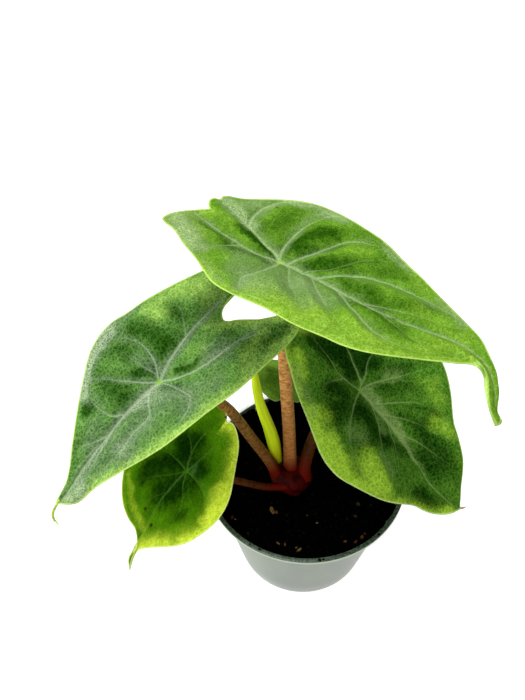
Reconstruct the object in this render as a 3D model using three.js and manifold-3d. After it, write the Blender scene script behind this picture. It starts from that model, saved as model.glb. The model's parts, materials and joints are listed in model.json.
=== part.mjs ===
// A young ivory coast alocasia in a 9 cm nursery pot.
//
// Four arrow-shaped leaves and one small older leaf each stand on their own petiole. The petioles rise
// from one short red crown, which sits in a plain hole in the soil, and a new leaf stands rolled up
// between them. Millimetres, +Z up, origin under the middle of the pot where it rests.
import * as THREE from "three";
import { mergeVertices } from "three/addons/utils/BufferGeometryUtils.js";
import Module from "manifold-3d";

// Driving dimensions, in millimetres and degrees
const FIT_GAP = 0.3;

// The pot: a thin tapering wall that flares out at the shoulder into a flat lip. It stands on a foot ring
// and a round pad, and the floor between them is raised and has the drain holes.
const POT = {
  height: 60,
  rimRadius: 45,
  mouthRadius: 42.9,
  lipHeight: 2.2,
  shoulderRadius: 40.8,
  shoulderHeight: 55.4,
  footRadius: 29.8,
  wall: 1.0,
  floor: 1.6,
  footStep: 1.5,
  footWidth: 2.4,
  padRadius: 9,
  drainHoles: 6,
  drainRadius: 2.6,
  drainCircle: 18.5,
  facets: 40,
};

const SOIL = { surface: 56.4, crumb: 0.9, mound: 1.2, rings: 6 };

const CROWN = {
  centre: [-6.4, -2.0],
  bottom: 47,
  shoulder: 58.5,
  top: 65.5,
  radius: 8.7,
  footRadius: 7.2,
  topRadius: 4.2,
  swelling: 0.07,
  swellings: 5,
  spokes: 22,
};

// Every blade: its thickness at the midrib and at the margin, how high the ribs stand below it, how far
// it puffs up between its veins, and the half width over which its sides curl.
const BLADE = {
  thickness: 1.0,
  margin: 0.65,
  ribHeight: 0.9,
  ribWidth: 1.9,
  puff: 0.9,
  puffWidth: 3.6,
  curlWidth: 40,
  tipStation: 0.4,
  widthStations: [0.88, 0.72, 0.5, 0.25, 0],
  firstVein: -0.02,
  veinStep: 0.17,
  veinCount: 5,
};

// A leaf's own plane has u along the midrib from the navel, where the petiole joins, and v to its right.
// heading, dip and roll turn that plane. droop bends the midrib over its length, tipBend the drip tip and
// back the lobes. fold and curl bend the two sides. widths are half widths at the stations above, neck the
// one where the drip tip starts, tipWidth one further down it, and tipSweep how far its point lies to the
// right. A lobe is given by how far it goes back and out, its width halfway, and the corner by the sinus.
const LEAVES = {
  top_leaf: {
    navel: [-12.8, 19.1, 174],
    heading: -41,
    dip: -9,
    roll: -17,
    length: 85.3,
    tip: 20.6,
    droop: 3.7,
    tipBend: 73,
    back: -27,
    fold: -7,
    curl: { right: 12.3, left: -22.3 },
    sinus: 38.6,
    sinusRadius: 0.8,
    tipSweep: 9.2,
    tipWidth: { right: 7.2, left: 1.7 },
    neck: { right: 2.1, left: 7.9 },
    widths: { right: [15.1, 24.9, 29.6, 31.2, 32.6], left: [12.8, 16.4, 24.8, 32.2, 35] },
    lobes: {
      right: { back: 40.9, out: 21.6, middle: 25.1, inner: [39.8, 9.6] },
      left: { back: 39.8, out: 9.6, middle: 29.4, inner: [41, 3.2] },
    },
    wave: { height: 0.9, count: 4, phase: 0.4 },
    mesh: { side: 28, rings: [0.1, 0.23, 0.37, 0.51, 0.64, 0.75, 0.84, 0.91, 0.96, 1] },
  },
  left_leaf: {
    navel: [-59.2, -4.8, 132],
    heading: 222,
    dip: 16,
    roll: 1,
    length: 63.4,
    tip: 11.4,
    droop: 31.6,
    tipBend: 55,
    back: -3,
    fold: -8,
    curl: { right: 8, left: 3.6 },
    sinus: 34.4,
    sinusRadius: 2.4,
    tipSweep: 0,
    tipWidth: { right: 0.5, left: 1.1 },
    neck: { right: 1.4, left: 0.6 },
    widths: { right: [2.1, 7, 15.4, 27.2, 33.8], left: [7.9, 11.1, 17.4, 23.5, 27.2] },
    lobes: {
      right: { back: 58.1, out: 15.4, middle: 28.7, inner: [47.4, 7.7] },
      left: { back: 54.3, out: 26.5, middle: 28.9, inner: [45.3, 12] },
    },
    wave: { height: 0.8, count: 5, phase: 2.1 },
    mesh: { side: 28, rings: [0.1, 0.23, 0.37, 0.51, 0.64, 0.75, 0.84, 0.91, 0.96, 1] },
  },
  right_leaf: {
    navel: [22.2, 13.1, 102],
    heading: -38,
    dip: 37,
    roll: -18.5,
    length: 66.6,
    tip: 5.5,
    droop: 0.4,
    tipBend: -60,
    back: -10,
    fold: -16,
    curl: { right: 27.8, left: -3.6 },
    sinus: 28,
    sinusRadius: 1.2,
    tipSweep: 0,
    tipWidth: { right: 0.9, left: 0.9 },
    neck: { right: 4.8, left: 5.2 },
    widths: { right: [16.5, 23.4, 36.3, 44.1, 43.7], left: [17.1, 25.2, 35.5, 45.6, 42.9] },
    lobes: {
      right: { back: 43.4, out: 24.6, middle: 36.8, inner: [36.5, 3.6] },
      left: { back: 37, out: 25, middle: 36, inner: [33, 4.5] },
    },
    wave: { height: 0.8, count: 5, phase: 1.2 },
    mesh: { side: 28, rings: [0.1, 0.23, 0.37, 0.51, 0.64, 0.75, 0.84, 0.91, 0.96, 1] },
  },
  low_leaf: {
    navel: [-51.3, -13.4, 81],
    heading: 223,
    dip: 18.5,
    roll: 17,
    length: 41.9,
    tip: 9.5,
    droop: 33.4,
    tipBend: 22,
    back: -19,
    fold: -7,
    curl: { right: 10.9, left: 11.8 },
    sinus: 28.2,
    sinusRadius: 0.8,
    tipSweep: 0,
    tipWidth: { right: 1.4, left: 1.6 },
    neck: { right: 0.5, left: 1.4 },
    widths: { right: [0.6, 12, 22.5, 33.5, 30.9], left: [3.9, 13.1, 24.6, 31, 31.2] },
    lobes: {
      right: { back: 28.8, out: 9, middle: 21.5, inner: [28.5, 3] },
      left: { back: 28.4, out: 9.3, middle: 21.6, inner: [28.3, 4.5] },
    },
    wave: { height: 0.5, count: 4, phase: 0 },
    mesh: { side: 21, rings: [0.12, 0.3, 0.5, 0.68, 0.82, 0.92, 1] },
  },
  back_leaf: {
    navel: [-8.4, 22.5, 91.5],
    heading: 88,
    dip: 16,
    roll: 0,
    length: 38,
    tip: 7,
    droop: 34,
    tipBend: 30,
    back: -4,
    fold: -6,
    curl: { right: 14, left: 14 },
    sinus: 7.5,
    sinusRadius: 0.6,
    tipSweep: 0,
    tipWidth: { right: 1, left: 1 },
    neck: { right: 2, left: 2 },
    widths: { right: [4, 9.5, 14, 15, 12.6], left: [4, 9.5, 14, 15, 12.6] },
    lobes: {
      right: { back: 10.5, out: 4.6, middle: 10, inner: [9, 1.8] },
      left: { back: 10.5, out: 4.6, middle: 10, inner: [9, 1.8] },
    },
    wave: { height: 0.4, count: 3, phase: 0.8 },
    mesh: { side: 18, rings: [0.14, 0.34, 0.55, 0.74, 0.89, 1] },
  },
};

// Each petiole goes through its points from the crown and ends under its leaf's navel. radii are those at
// the crown, where its sheath wraps it, halfway up, and at the blade.
const PETIOLES = {
  top_petiole: {
    leaf: "top_leaf",
    route: [
      [-6, -2.5, 60.5],
      [-6.7, 0.2, 67],
      [-7.6, 5.5, 84],
      [-8.8, 8.9, 102],
      [-10.4, 14.8, 125],
      [-11.7, 19.2, 150],
    ],
    radii: [2.9, 2.6, 2.0],
  },
  left_petiole: {
    leaf: "left_leaf",
    route: [
      [-12.2, -4.2, 60.5],
      [-14.6, -2, 67],
      [-24.5, 4.2, 81.5],
      [-33.1, 9.2, 93.5],
      [-42, 6.8, 107],
      [-51, 1.8, 120],
    ],
    radii: [2.7, 2.5, 1.9],
  },
  right_petiole: {
    leaf: "right_leaf",
    route: [
      [-0.6, -4.2, 60.5],
      [-0.6, -2, 66],
      [1.8, 4, 73.5],
      [5, 7.4, 82],
      [11.5, 10.8, 91.5],
    ],
    radii: [2.8, 2.5, 1.9],
  },
  low_petiole: {
    leaf: "low_leaf",
    route: [
      [-8.4, -8.4, 60.6],
      [-17, -9.8, 62.4],
      [-32, -10.6, 69.5],
      [-42, -12, 76],
    ],
    radii: [1.9, 1.8, 1.5],
  },
  back_petiole: {
    leaf: "back_leaf",
    route: [
      [-5.2, 3.3, 60.5],
      [-6.9, 7.2, 70],
      [-8.1, 13.4, 81],
      [-8.4, 18.4, 87],
    ],
    radii: [1.8, 1.7, 1.4],
  },
};
const PETIOLE_MESH = { sides: 8, steps: 14 };

// The share of a blade, round its navel, that its petiole keeps clear of
const NAVEL_REACH = 0.56;

// The new leaf, rolled round itself: a spindle with one overlapping edge
const ROLLED_LEAF = {
  route: [
    [-11.4, 1.6, 60.8],
    [-12.4, 2.8, 66],
    [-16.5, 5.2, 83.5],
    [-20.7, 7.6, 102],
    [-22.3, 11.3, 116],
    [-22.7, 15, 127],
  ],
  radius: 2.7,
  footRadius: 1.5,
  overlap: 0.5,
  sides: 9,
  steps: 14,
};

const COLOURS = {
  pot: 0xa5aca5,
  soil: 0x0d0b0a,
  crown: 0x5a130c,
  petiole: 0x9a6244,
  rolled: 0x9fb81e,
  blade: 0x3f6f22,
  oldBlade: 0x4c6b3c,
};

const wasm = await Module();
wasm.setup();

const radians = THREE.MathUtils.degToRad;
const smooth = (low, high, x) => THREE.MathUtils.smoothstep(x, low, high);

// Solids in and out of the boolean library
function toSolid(geometry) {
  const bare = geometry.clone();
  bare.deleteAttribute("normal");
  bare.deleteAttribute("uv");
  const merged = mergeVertices(bare, 1e-4);
  return new wasm.Manifold(
    new wasm.Mesh({
      numProp: 3,
      vertProperties: merged.attributes.position.array,
      triVerts: new Uint32Array(merged.index.array),
    }),
  );
}

function toGeometry(solid) {
  const mesh = solid.getMesh();
  const geometry = new THREE.BufferGeometry();
  geometry.setAttribute("position", new THREE.BufferAttribute(new Float32Array(mesh.vertProperties), 3));
  geometry.setIndex(new THREE.BufferAttribute(new Uint32Array(mesh.triVerts), 1));
  return geometry;
}

const largestBody = (solid) => solid.decompose().sort((a, b) => b.volume() - a.volume())[0];

function named(name, geometry, color, roughness) {
  geometry.computeVertexNormals();
  const material = new THREE.MeshStandardMaterial({ color, roughness, metalness: 0 });
  const mesh = new THREE.Mesh(geometry, material);
  mesh.name = name;
  return mesh;
}

// A closed surface from rows of points that each run once round, closed by a point at either end
function closedRows(rows, start, end) {
  const count = rows[0].length;
  const points = [start, ...rows.flat(), end];
  const last = points.length - 1;
  const faces = [];
  for (let j = 0; j < count; j++) {
    const next = (j + 1) % count;
    faces.push(0, 1 + next, 1 + j);
    for (let i = 0; i + 1 < rows.length; i++) {
      const a = 1 + i * count;
      const b = a + count;
      faces.push(a + j, a + next, b + next);
      faces.push(a + j, b + next, b + j);
    }
    const end0 = 1 + (rows.length - 1) * count;
    faces.push(last, end0 + j, end0 + next);
  }
  const geometry = new THREE.BufferGeometry().setFromPoints(points);
  geometry.setIndex(faces);
  return geometry;
}

// Leaf blades

// How far an arc of the given curvature gets along its first direction, and how far off it
function arc(curvature, length) {
  if (Math.abs(curvature) < 1e-9) return [length, 0];
  const angle = curvature * length;
  return [Math.sin(angle) / curvature, (1 - Math.cos(angle)) / curvature];
}

function leafAxes(leaf) {
  const heading = radians(leaf.heading);
  const dip = radians(leaf.dip);
  const roll = radians(leaf.roll);
  const forward = new THREE.Vector3(
    Math.cos(heading) * Math.cos(dip),
    Math.sin(heading) * Math.cos(dip),
    -Math.sin(dip),
  );
  const level = new THREE.Vector3(Math.sin(heading), -Math.cos(heading), 0);
  const upward = new THREE.Vector3().crossVectors(level, forward);
  const right = level.clone().multiplyScalar(Math.cos(roll)).addScaledVector(upward, -Math.sin(roll));
  const up = upward.clone().multiplyScalar(Math.cos(roll)).addScaledVector(level, Math.sin(roll));
  return { forward, right, up };
}

// The point of a leaf's middle surface at (u, v), raised by lift along the midrib's own normal: the midrib
// is three arcs, for the lobes, the blade and the drip tip, and each side is an arc turned by the fold.
function bladePoint(leaf, u, v, lift = 0) {
  const { forward, right, up } = leafAxes(leaf);
  const lobeReach = Math.max(leaf.lobes.right.back, leaf.lobes.left.back);
  const bladeBend = radians(leaf.droop) / leaf.length;
  const tipBend = radians(leaf.tipBend) / leaf.tip;
  const lobeBend = radians(leaf.back) / lobeReach;
  const onBlade = THREE.MathUtils.clamp(u, 0, leaf.length);
  const onTip = Math.max(u - leaf.length, 0);
  const onLobe = Math.max(-u, 0);
  const [bladeAlong, bladeDown] = arc(bladeBend, onBlade);
  const [tipAlong, tipDown] = arc(tipBend, onTip);
  const [lobeAlong, lobeDown] = arc(lobeBend, onLobe);
  const turned = radians(leaf.droop);
  const along = bladeAlong + tipAlong * Math.cos(turned) - tipDown * Math.sin(turned) - lobeAlong;
  const down = bladeDown + tipAlong * Math.sin(turned) + tipDown * Math.cos(turned) + lobeDown;
  const slope = bladeBend * onBlade + tipBend * onTip - lobeBend * onLobe;
  const normal = up.clone().multiplyScalar(Math.cos(slope)).addScaledVector(forward, Math.sin(slope));

  const curl = radians(v > 0 ? leaf.curl.right : leaf.curl.left) / BLADE.curlWidth;
  const [flatOut, flatDown] = arc(curl, Math.abs(v));
  const fold = radians(leaf.fold);
  const out = flatOut * Math.cos(fold) - flatDown * Math.sin(fold);
  const sideDown = flatOut * Math.sin(fold) + flatDown * Math.cos(fold);
  return new THREE.Vector3(...leaf.navel)
    .addScaledVector(forward, along)
    .addScaledVector(up, -down)
    .addScaledVector(right, Math.sign(v) * out)
    .addScaledVector(normal, lift - sideDown);
}

// One side's margin, from the drip tip to the sinus between the lobes
function marginCurve(leaf, side) {
  const sign = side === "right" ? 1 : -1;
  const lobe = leaf.lobes[side];
  const outline = [
    [leaf.length + leaf.tip, sign * leaf.tipSweep],
    [leaf.length + BLADE.tipStation * leaf.tip, leaf.tipWidth[side]],
    [leaf.length, leaf.neck[side]],
    ...BLADE.widthStations.map((station, i) => [station * leaf.length, leaf.widths[side][i]]),
    [-0.5 * lobe.back, lobe.middle],
    [-lobe.back, lobe.out],
    [-lobe.inner[0], lobe.inner[1]],
    [-(leaf.sinus + 0.35 * leaf.sinusRadius), leaf.sinusRadius],
    [-leaf.sinus, 0],
  ];
  return new THREE.CatmullRomCurve3(outline.map(([u, v]) => new THREE.Vector3(u, sign * v, 0)));
}

// The whole margin as points, once round from the drip tip over the right side. They lie closer together
// where the outline turns sharply, at the drip tip and the sinus.
function marginPoints(leaf, perSide) {
  const along = (curve) =>
    Array.from({ length: perSide + 1 }, (_, k) => {
      const share = k / perSide;
      return curve.getPoint(0.5 * share + 0.5 * curve.getUtoTmapping(share));
    });
  const left = along(marginCurve(leaf, "left"));
  return [...along(marginCurve(leaf, "right")), ...left.reverse().slice(1, -1)];
}

// The main veins: the midrib, a rib into each lobe, and side veins that leave the midrib nearly square
// and turn towards the tip
function mainVeins(leaf) {
  const between = (widths) => 0.5 * (widths.right - widths.left);
  const midrib = [
    [0, 0],
    [0.9 * leaf.length, 0],
    [leaf.length, between(leaf.neck)],
    [leaf.length + BLADE.tipStation * leaf.tip, between(leaf.tipWidth)],
  ];
  const veins = [midrib];
  for (const side of ["right", "left"]) {
    const sign = side === "right" ? 1 : -1;
    const lobe = leaf.lobes[side];
    const reach = 0.85;
    veins.push([[0, 0], [-reach * lobe.back, sign * reach * (0.55 * lobe.out + 0.45 * lobe.inner[1])]]);
    for (let i = 0; i < BLADE.veinCount; i++) {
      const start = (BLADE.firstVein + i * BLADE.veinStep) * leaf.length;
      const width = leaf.widths[side][4] * (1 - 0.16 * i);
      const turn = (0.05 + 0.13 * i) * width;
      const line = [0, 0.35, 0.7, 1].map((t) => [start + turn * (0.8 * t + t * t), sign * width * t]);
      veins.push(line);
    }
  }
  return veins;
}

function distanceToLine(u, v, line) {
  let nearest = Infinity;
  for (let i = 0; i + 1 < line.length; i++) {
    const [u0, v0] = line[i];
    const [du, dv] = [line[i + 1][0] - u0, line[i + 1][1] - v0];
    const t = THREE.MathUtils.clamp(((u - u0) * du + (v - v0) * dv) / (du * du + dv * dv), 0, 1);
    nearest = Math.min(nearest, Math.hypot(u - u0 - t * du, v - v0 - t * dv));
  }
  return nearest;
}

// A blade: rings that are smaller copies of the margin about the navel, on a top and an under face that
// are split alike. It puffs up between the veins, waves towards the margin and has ribs underneath. reach
// stops it at a share of its size, and grow makes it thicker.
function blade(leaf, reach = 1, grow = 0) {
  const margin = marginPoints(leaf, leaf.mesh.side);
  const veins = mainVeins(leaf);
  const ribs = veins.slice(0, 2).concat(veins.slice(2 + BLADE.veinCount, 3 + BLADE.veinCount));
  const middle = (u, v, ring, turn) => {
    const vein = Math.min(...veins.map((line) => distanceToLine(u, v, line)));
    const puff = BLADE.puff * (1 - Math.exp(-((vein / BLADE.puffWidth) ** 2))) * (1 - ring ** 4);
    const wave = leaf.wave.height * ring ** 3 * Math.sin(turn);
    return bladePoint(leaf, u, v, puff * smooth(0, 0.3, ring) + wave);
  };
  const faces = (u, v, ring, turn) => {
    const step = 0.5;
    const centre = middle(u, v, ring, turn);
    const alongU = bladePoint(leaf, u + step, v).sub(bladePoint(leaf, u - step, v));
    const alongV = bladePoint(leaf, u, v + step).sub(bladePoint(leaf, u, v - step));
    const normal = alongV.cross(alongU).normalize();
    const rib = Math.min(...ribs.map((line) => distanceToLine(u, v, line)));
    const half = 0.5 * THREE.MathUtils.lerp(BLADE.thickness, BLADE.margin, ring * ring) + grow;
    const ribbed = half + BLADE.ribHeight * Math.exp(-((rib / BLADE.ribWidth) ** 2)) * (1 - ring ** 3);
    return [centre.clone().addScaledVector(normal, half), centre.clone().addScaledVector(normal, -ribbed)];
  };

  const top = [];
  const under = [];
  for (const ring of leaf.mesh.rings.filter((share) => share <= reach)) {
    const row = margin.map((point, k) => {
      const turn = (2 * Math.PI * leaf.wave.count * 2 * k) / margin.length + leaf.wave.phase;
      return faces(point.x * ring, point.y * ring, ring, turn);
    });
    top.push(row.map((pair) => pair[0]));
    under.push(row.map((pair) => pair[1]));
  }
  const [topCentre, underCentre] = faces(0, 0, 0, 0);
  return closedRows([...top, ...under.reverse()], topCentre, underCentre);
}

// Petioles and the rolled leaf

// A tapering rod along a curve, closed at both ends: section gives the radius at (share of length, angle),
// and grow makes it larger all over
function rod(curve, sides, steps, grow, section) {
  const frames = curve.computeFrenetFrames(steps, false);
  const centres = curve.getSpacedPoints(steps);
  centres[0].addScaledVector(frames.tangents[0], -grow);
  centres[steps].addScaledVector(frames.tangents[steps], grow);
  const rows = centres.map((centre, i) =>
    Array.from({ length: sides }, (_, j) => {
      const angle = (2 * Math.PI * j) / sides;
      const radius = section(i / steps, angle) + grow;
      return centre
        .clone()
        .addScaledVector(frames.normals[i], radius * Math.cos(angle))
        .addScaledVector(frames.binormals[i], radius * Math.sin(angle));
    }),
  );
  return closedRows(rows, centres[0], centres[steps]);
}

const through = (route) => new THREE.CatmullRomCurve3(route.map((p) => new THREE.Vector3(...p)));

function petioleCurve(petiole) {
  return through([...petiole.route, LEAVES[petiole.leaf].navel]);
}

function petioleRod(petiole, grow = 0) {
  const [foot, halfway, top] = petiole.radii;
  const taper = (t) =>
    t < 0.5 ? THREE.MathUtils.lerp(foot, halfway, 2 * t) : THREE.MathUtils.lerp(halfway, top, 2 * t - 1);
  return rod(petioleCurve(petiole), PETIOLE_MESH.sides, PETIOLE_MESH.steps, grow, taper);
}

// The rod stops under the blade: what lies in the blade's clearance round the navel is cut away
function petioleBody(petiole) {
  const clearance = toSolid(blade(LEAVES[petiole.leaf], NAVEL_REACH, FIT_GAP));
  return toGeometry(largestBody(toSolid(petioleRod(petiole)).subtract(clearance)));
}

function rolledLeafRod(grow = 0) {
  const { route, radius, footRadius, overlap, sides, steps } = ROLLED_LEAF;
  const section = (t, angle) => {
    const spindle = footRadius + (radius - footRadius) * Math.sin(Math.PI * Math.min(1, t * 1.25) * 0.5);
    const point = 1 - 0.94 * smooth(0.62, 1, t) ** 2;
    const edge = (overlap * angle) / (2 * Math.PI);
    return spindle * point * (1 - 0.1 * edge);
  };
  return rod(through(route), sides, steps, grow, section);
}

// Crown, soil and pot

// The crown narrows below ground and rounds over on top, with a sheath swelling round it at each petiole
function crownBody() {
  const [cx, cy] = CROWN.centre;
  const { bottom, shoulder, top, radius, footRadius, topRadius, spokes } = CROWN;
  const levels = [
    [bottom, footRadius],
    [0.5 * (bottom + shoulder), 0.5 * (footRadius + radius)],
    [shoulder, radius],
    [0.45 * shoulder + 0.55 * top, 0.94 * radius],
    [0.15 * shoulder + 0.85 * top, 0.72 * radius],
    [top, topRadius],
  ];
  const swelling = (angle, z) =>
    1 + CROWN.swelling * Math.cos(CROWN.swellings * angle + 0.6) * smooth(bottom, shoulder, z);
  const rows = levels.map(([z, r]) =>
    Array.from({ length: spokes }, (_, j) => {
      const angle = (2 * Math.PI * j) / spokes;
      const out = r * swelling(angle, z);
      return new THREE.Vector3(cx + out * Math.cos(angle), cy + out * Math.sin(angle), z);
    }),
  );
  const body = closedRows(rows, new THREE.Vector3(cx, cy, bottom), new THREE.Vector3(cx, cy, top));
  const sockets = Object.values(PETIOLES).map((petiole) => toSolid(petioleRod(petiole, FIT_GAP)));
  sockets.push(toSolid(rolledLeafRod(FIT_GAP)));
  return toGeometry(largestBody(sockets.reduce((solid, socket) => solid.subtract(socket), toSolid(body))));
}

// The pot's outer radius at a height below the shoulder, and its inner radius at any height below the lip
function potRadius(z) {
  return THREE.MathUtils.lerp(POT.footRadius, POT.shoulderRadius, z / POT.shoulderHeight);
}

function potInside(z) {
  const { shoulderHeight, height, lipHeight, mouthRadius, wall } = POT;
  if (z <= shoulderHeight) return potRadius(z) - wall;
  const flare = (z - shoulderHeight) / (height - lipHeight - shoulderHeight);
  return THREE.MathUtils.lerp(potRadius(shoulderHeight) - wall, mouthRadius, flare);
}

// A spun profile: from the pad out along the raised floor's underside, over the foot ring, up the outside,
// over the lip and down the inside
function potBody() {
  const { height, rimRadius, mouthRadius, lipHeight, shoulderRadius, shoulderHeight } = POT;
  const { footRadius, footWidth, footStep, padRadius, wall, floor, facets } = POT;
  const footInner = footRadius - footWidth;
  const underLip = height - lipHeight;
  const edge = 0.5;
  const outline = [
    [0, 0],
    [padRadius, 0],
    [padRadius + edge, footStep],
    [footInner - edge, footStep],
    [footInner, 0],
    [footRadius, 0],
    [shoulderRadius, shoulderHeight],
    [rimRadius - edge, underLip],
    [rimRadius, underLip + edge],
    [rimRadius, height - edge],
    [rimRadius - edge, height],
    [mouthRadius + edge, height],
    [mouthRadius, height - edge],
    [mouthRadius, underLip],
    [shoulderRadius - wall, shoulderHeight],
    [potInside(footStep + floor), footStep + floor],
    [0, footStep + floor],
  ];
  const spun = new THREE.LatheGeometry(outline.map(([r, z]) => new THREE.Vector2(r, z)), facets);
  spun.rotateX(Math.PI / 2);
  const holes = Array.from({ length: POT.drainHoles }, (_, k) => {
    const angle = (2 * Math.PI * k) / POT.drainHoles;
    const hole = new THREE.CylinderGeometry(POT.drainRadius, POT.drainRadius, 3 * floor, 10);
    hole.rotateX(Math.PI / 2);
    hole.translate(POT.drainCircle * Math.cos(angle), POT.drainCircle * Math.sin(angle), footStep + floor / 2);
    return toSolid(hole);
  });
  return toGeometry(holes.reduce((solid, hole) => solid.subtract(hole), toSolid(spun)));
}

// Height of the soil's surface: a low mound at the crown, and lumps that fade out at the wall
function soilHeight(x, y) {
  const fromCrown = Math.hypot(x - CROWN.centre[0], y - CROWN.centre[1]);
  const lumps =
    Math.sin(0.31 * x + 1.3) * Math.cos(0.27 * y - 0.4) +
    0.6 * Math.sin(0.62 * x - 0.55 * y) +
    0.4 * Math.cos(0.9 * y + 0.41 * x + 2);
  return SOIL.surface + SOIL.mound * Math.exp(-((fromCrown / 16) ** 2)) + SOIL.crumb * 0.5 * lumps;
}

// The soil fills the pot to just under the lip, and the crown stands in a plain round hole in it
function soilBody() {
  const bottom = POT.footStep + POT.floor + FIT_GAP;
  const edge = SOIL.surface - SOIL.crumb / 2;
  const rowAt = (radius, height) =>
    Array.from({ length: POT.facets }, (_, j) => {
      const angle = (2 * Math.PI * j) / POT.facets;
      const x = radius * Math.cos(angle);
      const y = radius * Math.sin(angle);
      return new THREE.Vector3(x, y, height(x, y));
    });
  const rows = [bottom, POT.shoulderHeight, edge].map((z) => rowAt(potInside(z) - FIT_GAP, () => z));
  for (let i = SOIL.rings; i > 0; i--) {
    const radius = (0.985 * (potInside(edge) - FIT_GAP) * i) / SOIL.rings;
    rows.push(rowAt(radius, soilHeight));
  }
  const middle = new THREE.Vector3(0, 0, soilHeight(0, 0));
  const body = toSolid(closedRows(rows, new THREE.Vector3(0, 0, bottom), middle));
  const holeRadius = (1 + CROWN.swelling) * CROWN.radius + FIT_GAP;
  const holeDepth = 30;
  const hole = new THREE.CylinderGeometry(holeRadius, holeRadius, holeDepth, CROWN.spokes);
  hole.rotateX(Math.PI / 2);
  hole.translate(CROWN.centre[0], CROWN.centre[1], CROWN.bottom - FIT_GAP + holeDepth / 2);
  return toGeometry(body.subtract(toSolid(hole)));
}

// The plant and its pot
const plant = new THREE.Group();
plant.add(named("pot", potBody(), COLOURS.pot, 0.45));
plant.add(named("soil", soilBody(), COLOURS.soil, 0.95));
plant.add(named("crown", crownBody(), COLOURS.crown, 0.6));
for (const [name, petiole] of Object.entries(PETIOLES)) {
  plant.add(named(name, petioleBody(petiole), COLOURS.petiole, 0.6));
}
for (const [name, leaf] of Object.entries(LEAVES)) {
  const colour = name === "back_leaf" ? COLOURS.oldBlade : COLOURS.blade;
  plant.add(named(name, blade(leaf), colour, 0.5));
}
plant.add(named("rolled_leaf", rolledLeafRod(), COLOURS.rolled, 0.5));

export default plant;
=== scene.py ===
import json
import math

import bpy
import numpy as np
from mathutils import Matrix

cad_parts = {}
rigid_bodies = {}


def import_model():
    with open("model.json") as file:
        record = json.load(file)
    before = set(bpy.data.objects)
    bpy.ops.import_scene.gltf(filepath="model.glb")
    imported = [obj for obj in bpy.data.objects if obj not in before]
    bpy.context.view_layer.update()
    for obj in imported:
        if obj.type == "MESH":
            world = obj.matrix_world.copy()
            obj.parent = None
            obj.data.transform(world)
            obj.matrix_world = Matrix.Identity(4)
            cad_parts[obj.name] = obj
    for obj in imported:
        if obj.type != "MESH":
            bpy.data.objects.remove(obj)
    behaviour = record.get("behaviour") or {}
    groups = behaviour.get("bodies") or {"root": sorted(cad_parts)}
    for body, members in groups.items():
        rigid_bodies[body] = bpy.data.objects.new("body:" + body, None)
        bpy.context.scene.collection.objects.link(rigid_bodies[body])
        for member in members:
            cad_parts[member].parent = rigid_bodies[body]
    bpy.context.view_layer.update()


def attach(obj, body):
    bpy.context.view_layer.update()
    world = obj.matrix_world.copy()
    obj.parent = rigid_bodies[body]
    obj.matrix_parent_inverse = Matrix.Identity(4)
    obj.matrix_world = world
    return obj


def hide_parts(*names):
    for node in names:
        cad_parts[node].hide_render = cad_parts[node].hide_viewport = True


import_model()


# Camera and studio
# A white table in a white room, with a soft lamp overhead behind the plant, a weaker one in front and a
# low one on each side, the left one stronger. The camera looks down from in front, and its focal length
# is 1000 pixels of a picture 700 pixels high.
def in_scene(name, data):
    """A new object in the scene for a lamp, a camera or a mesh."""
    made = bpy.data.objects.new(name, data)
    bpy.context.scene.collection.objects.link(made)
    return made


def area_lamp(name, place, target, size, watts):
    """A square lamp at a place, turned to a target, with its size in metres."""
    light = bpy.data.lights.new(name, "AREA")
    light.size = size
    light.energy = watts
    lamp = in_scene(name, light)
    lamp.location = place
    aim = np.array(target) - np.array(place)
    flat = math.hypot(aim[0], aim[1])
    lamp.rotation_euler = (math.atan2(flat, -aim[2]), 0, math.atan2(-aim[0], aim[1]))


area_lamp("key_lamp", (-0.12, 0.15, 0.85), (0, 0, 0.1), 0.3, 6.5)
area_lamp("front_lamp", (-0.15, -0.55, 0.45), (0, 0, 0.08), 0.5, 2.2)
area_lamp("left_lamp", (-0.6, 0.05, 0.12), (0, 0, 0.05), 0.4, 4.6)
area_lamp("right_lamp", (0.6, 0.05, 0.12), (0, 0, 0.05), 0.4, 1)
bpy.context.scene.view_settings.view_transform = "Standard"

ROOM_LIGHT = 0.25
room = bpy.data.worlds.new("white_room")
room.use_nodes = True
room.node_tree.nodes["Background"].inputs["Color"].default_value = (1, 1, 1, 1)
room.node_tree.nodes["Background"].inputs["Strength"].default_value = ROOM_LIGHT
bpy.context.scene.world = room

LOOK_DOWN = 51
SENSOR = 36
FOCAL_PIXELS = 1000
PICTURE_HEIGHT = 700
lens = bpy.data.cameras.new("camera")
lens.sensor_width = SENSOR
lens.lens = SENSOR * FOCAL_PIXELS / PICTURE_HEIGHT
lens.clip_start = 0.01
camera = in_scene("camera", lens)
camera.location = (-0.0191, -0.2390, 0.4408)
camera.rotation_euler = (math.radians(90 - LOOK_DOWN), 0, 0)
bpy.context.scene.camera = camera


# The pot
# A thin tapering nursery pot of pale grey-green translucent plastic, formed in one piece: a wall that
# flares out at the shoulder into a flat lip, a raised floor with drain holes, a foot ring and a pad.
class Wire:
    """An output socket of a material's node. Its operators add Math nodes and give their output."""

    def __init__(self, paint, socket):
        self.paint = paint
        self.socket = socket

    def math(self, operation, first, second):
        return self.paint.node("Math", {0: first, 1: second}, operation=operation)

    def __add__(self, other):
        return self.math("ADD", self, other)

    def __sub__(self, other):
        return self.math("SUBTRACT", self, other)

    def __rsub__(self, other):
        return self.math("SUBTRACT", other, self)

    def __mul__(self, other):
        return self.math("MULTIPLY", self, other)

    __radd__ = __add__
    __rmul__ = __mul__


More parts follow.
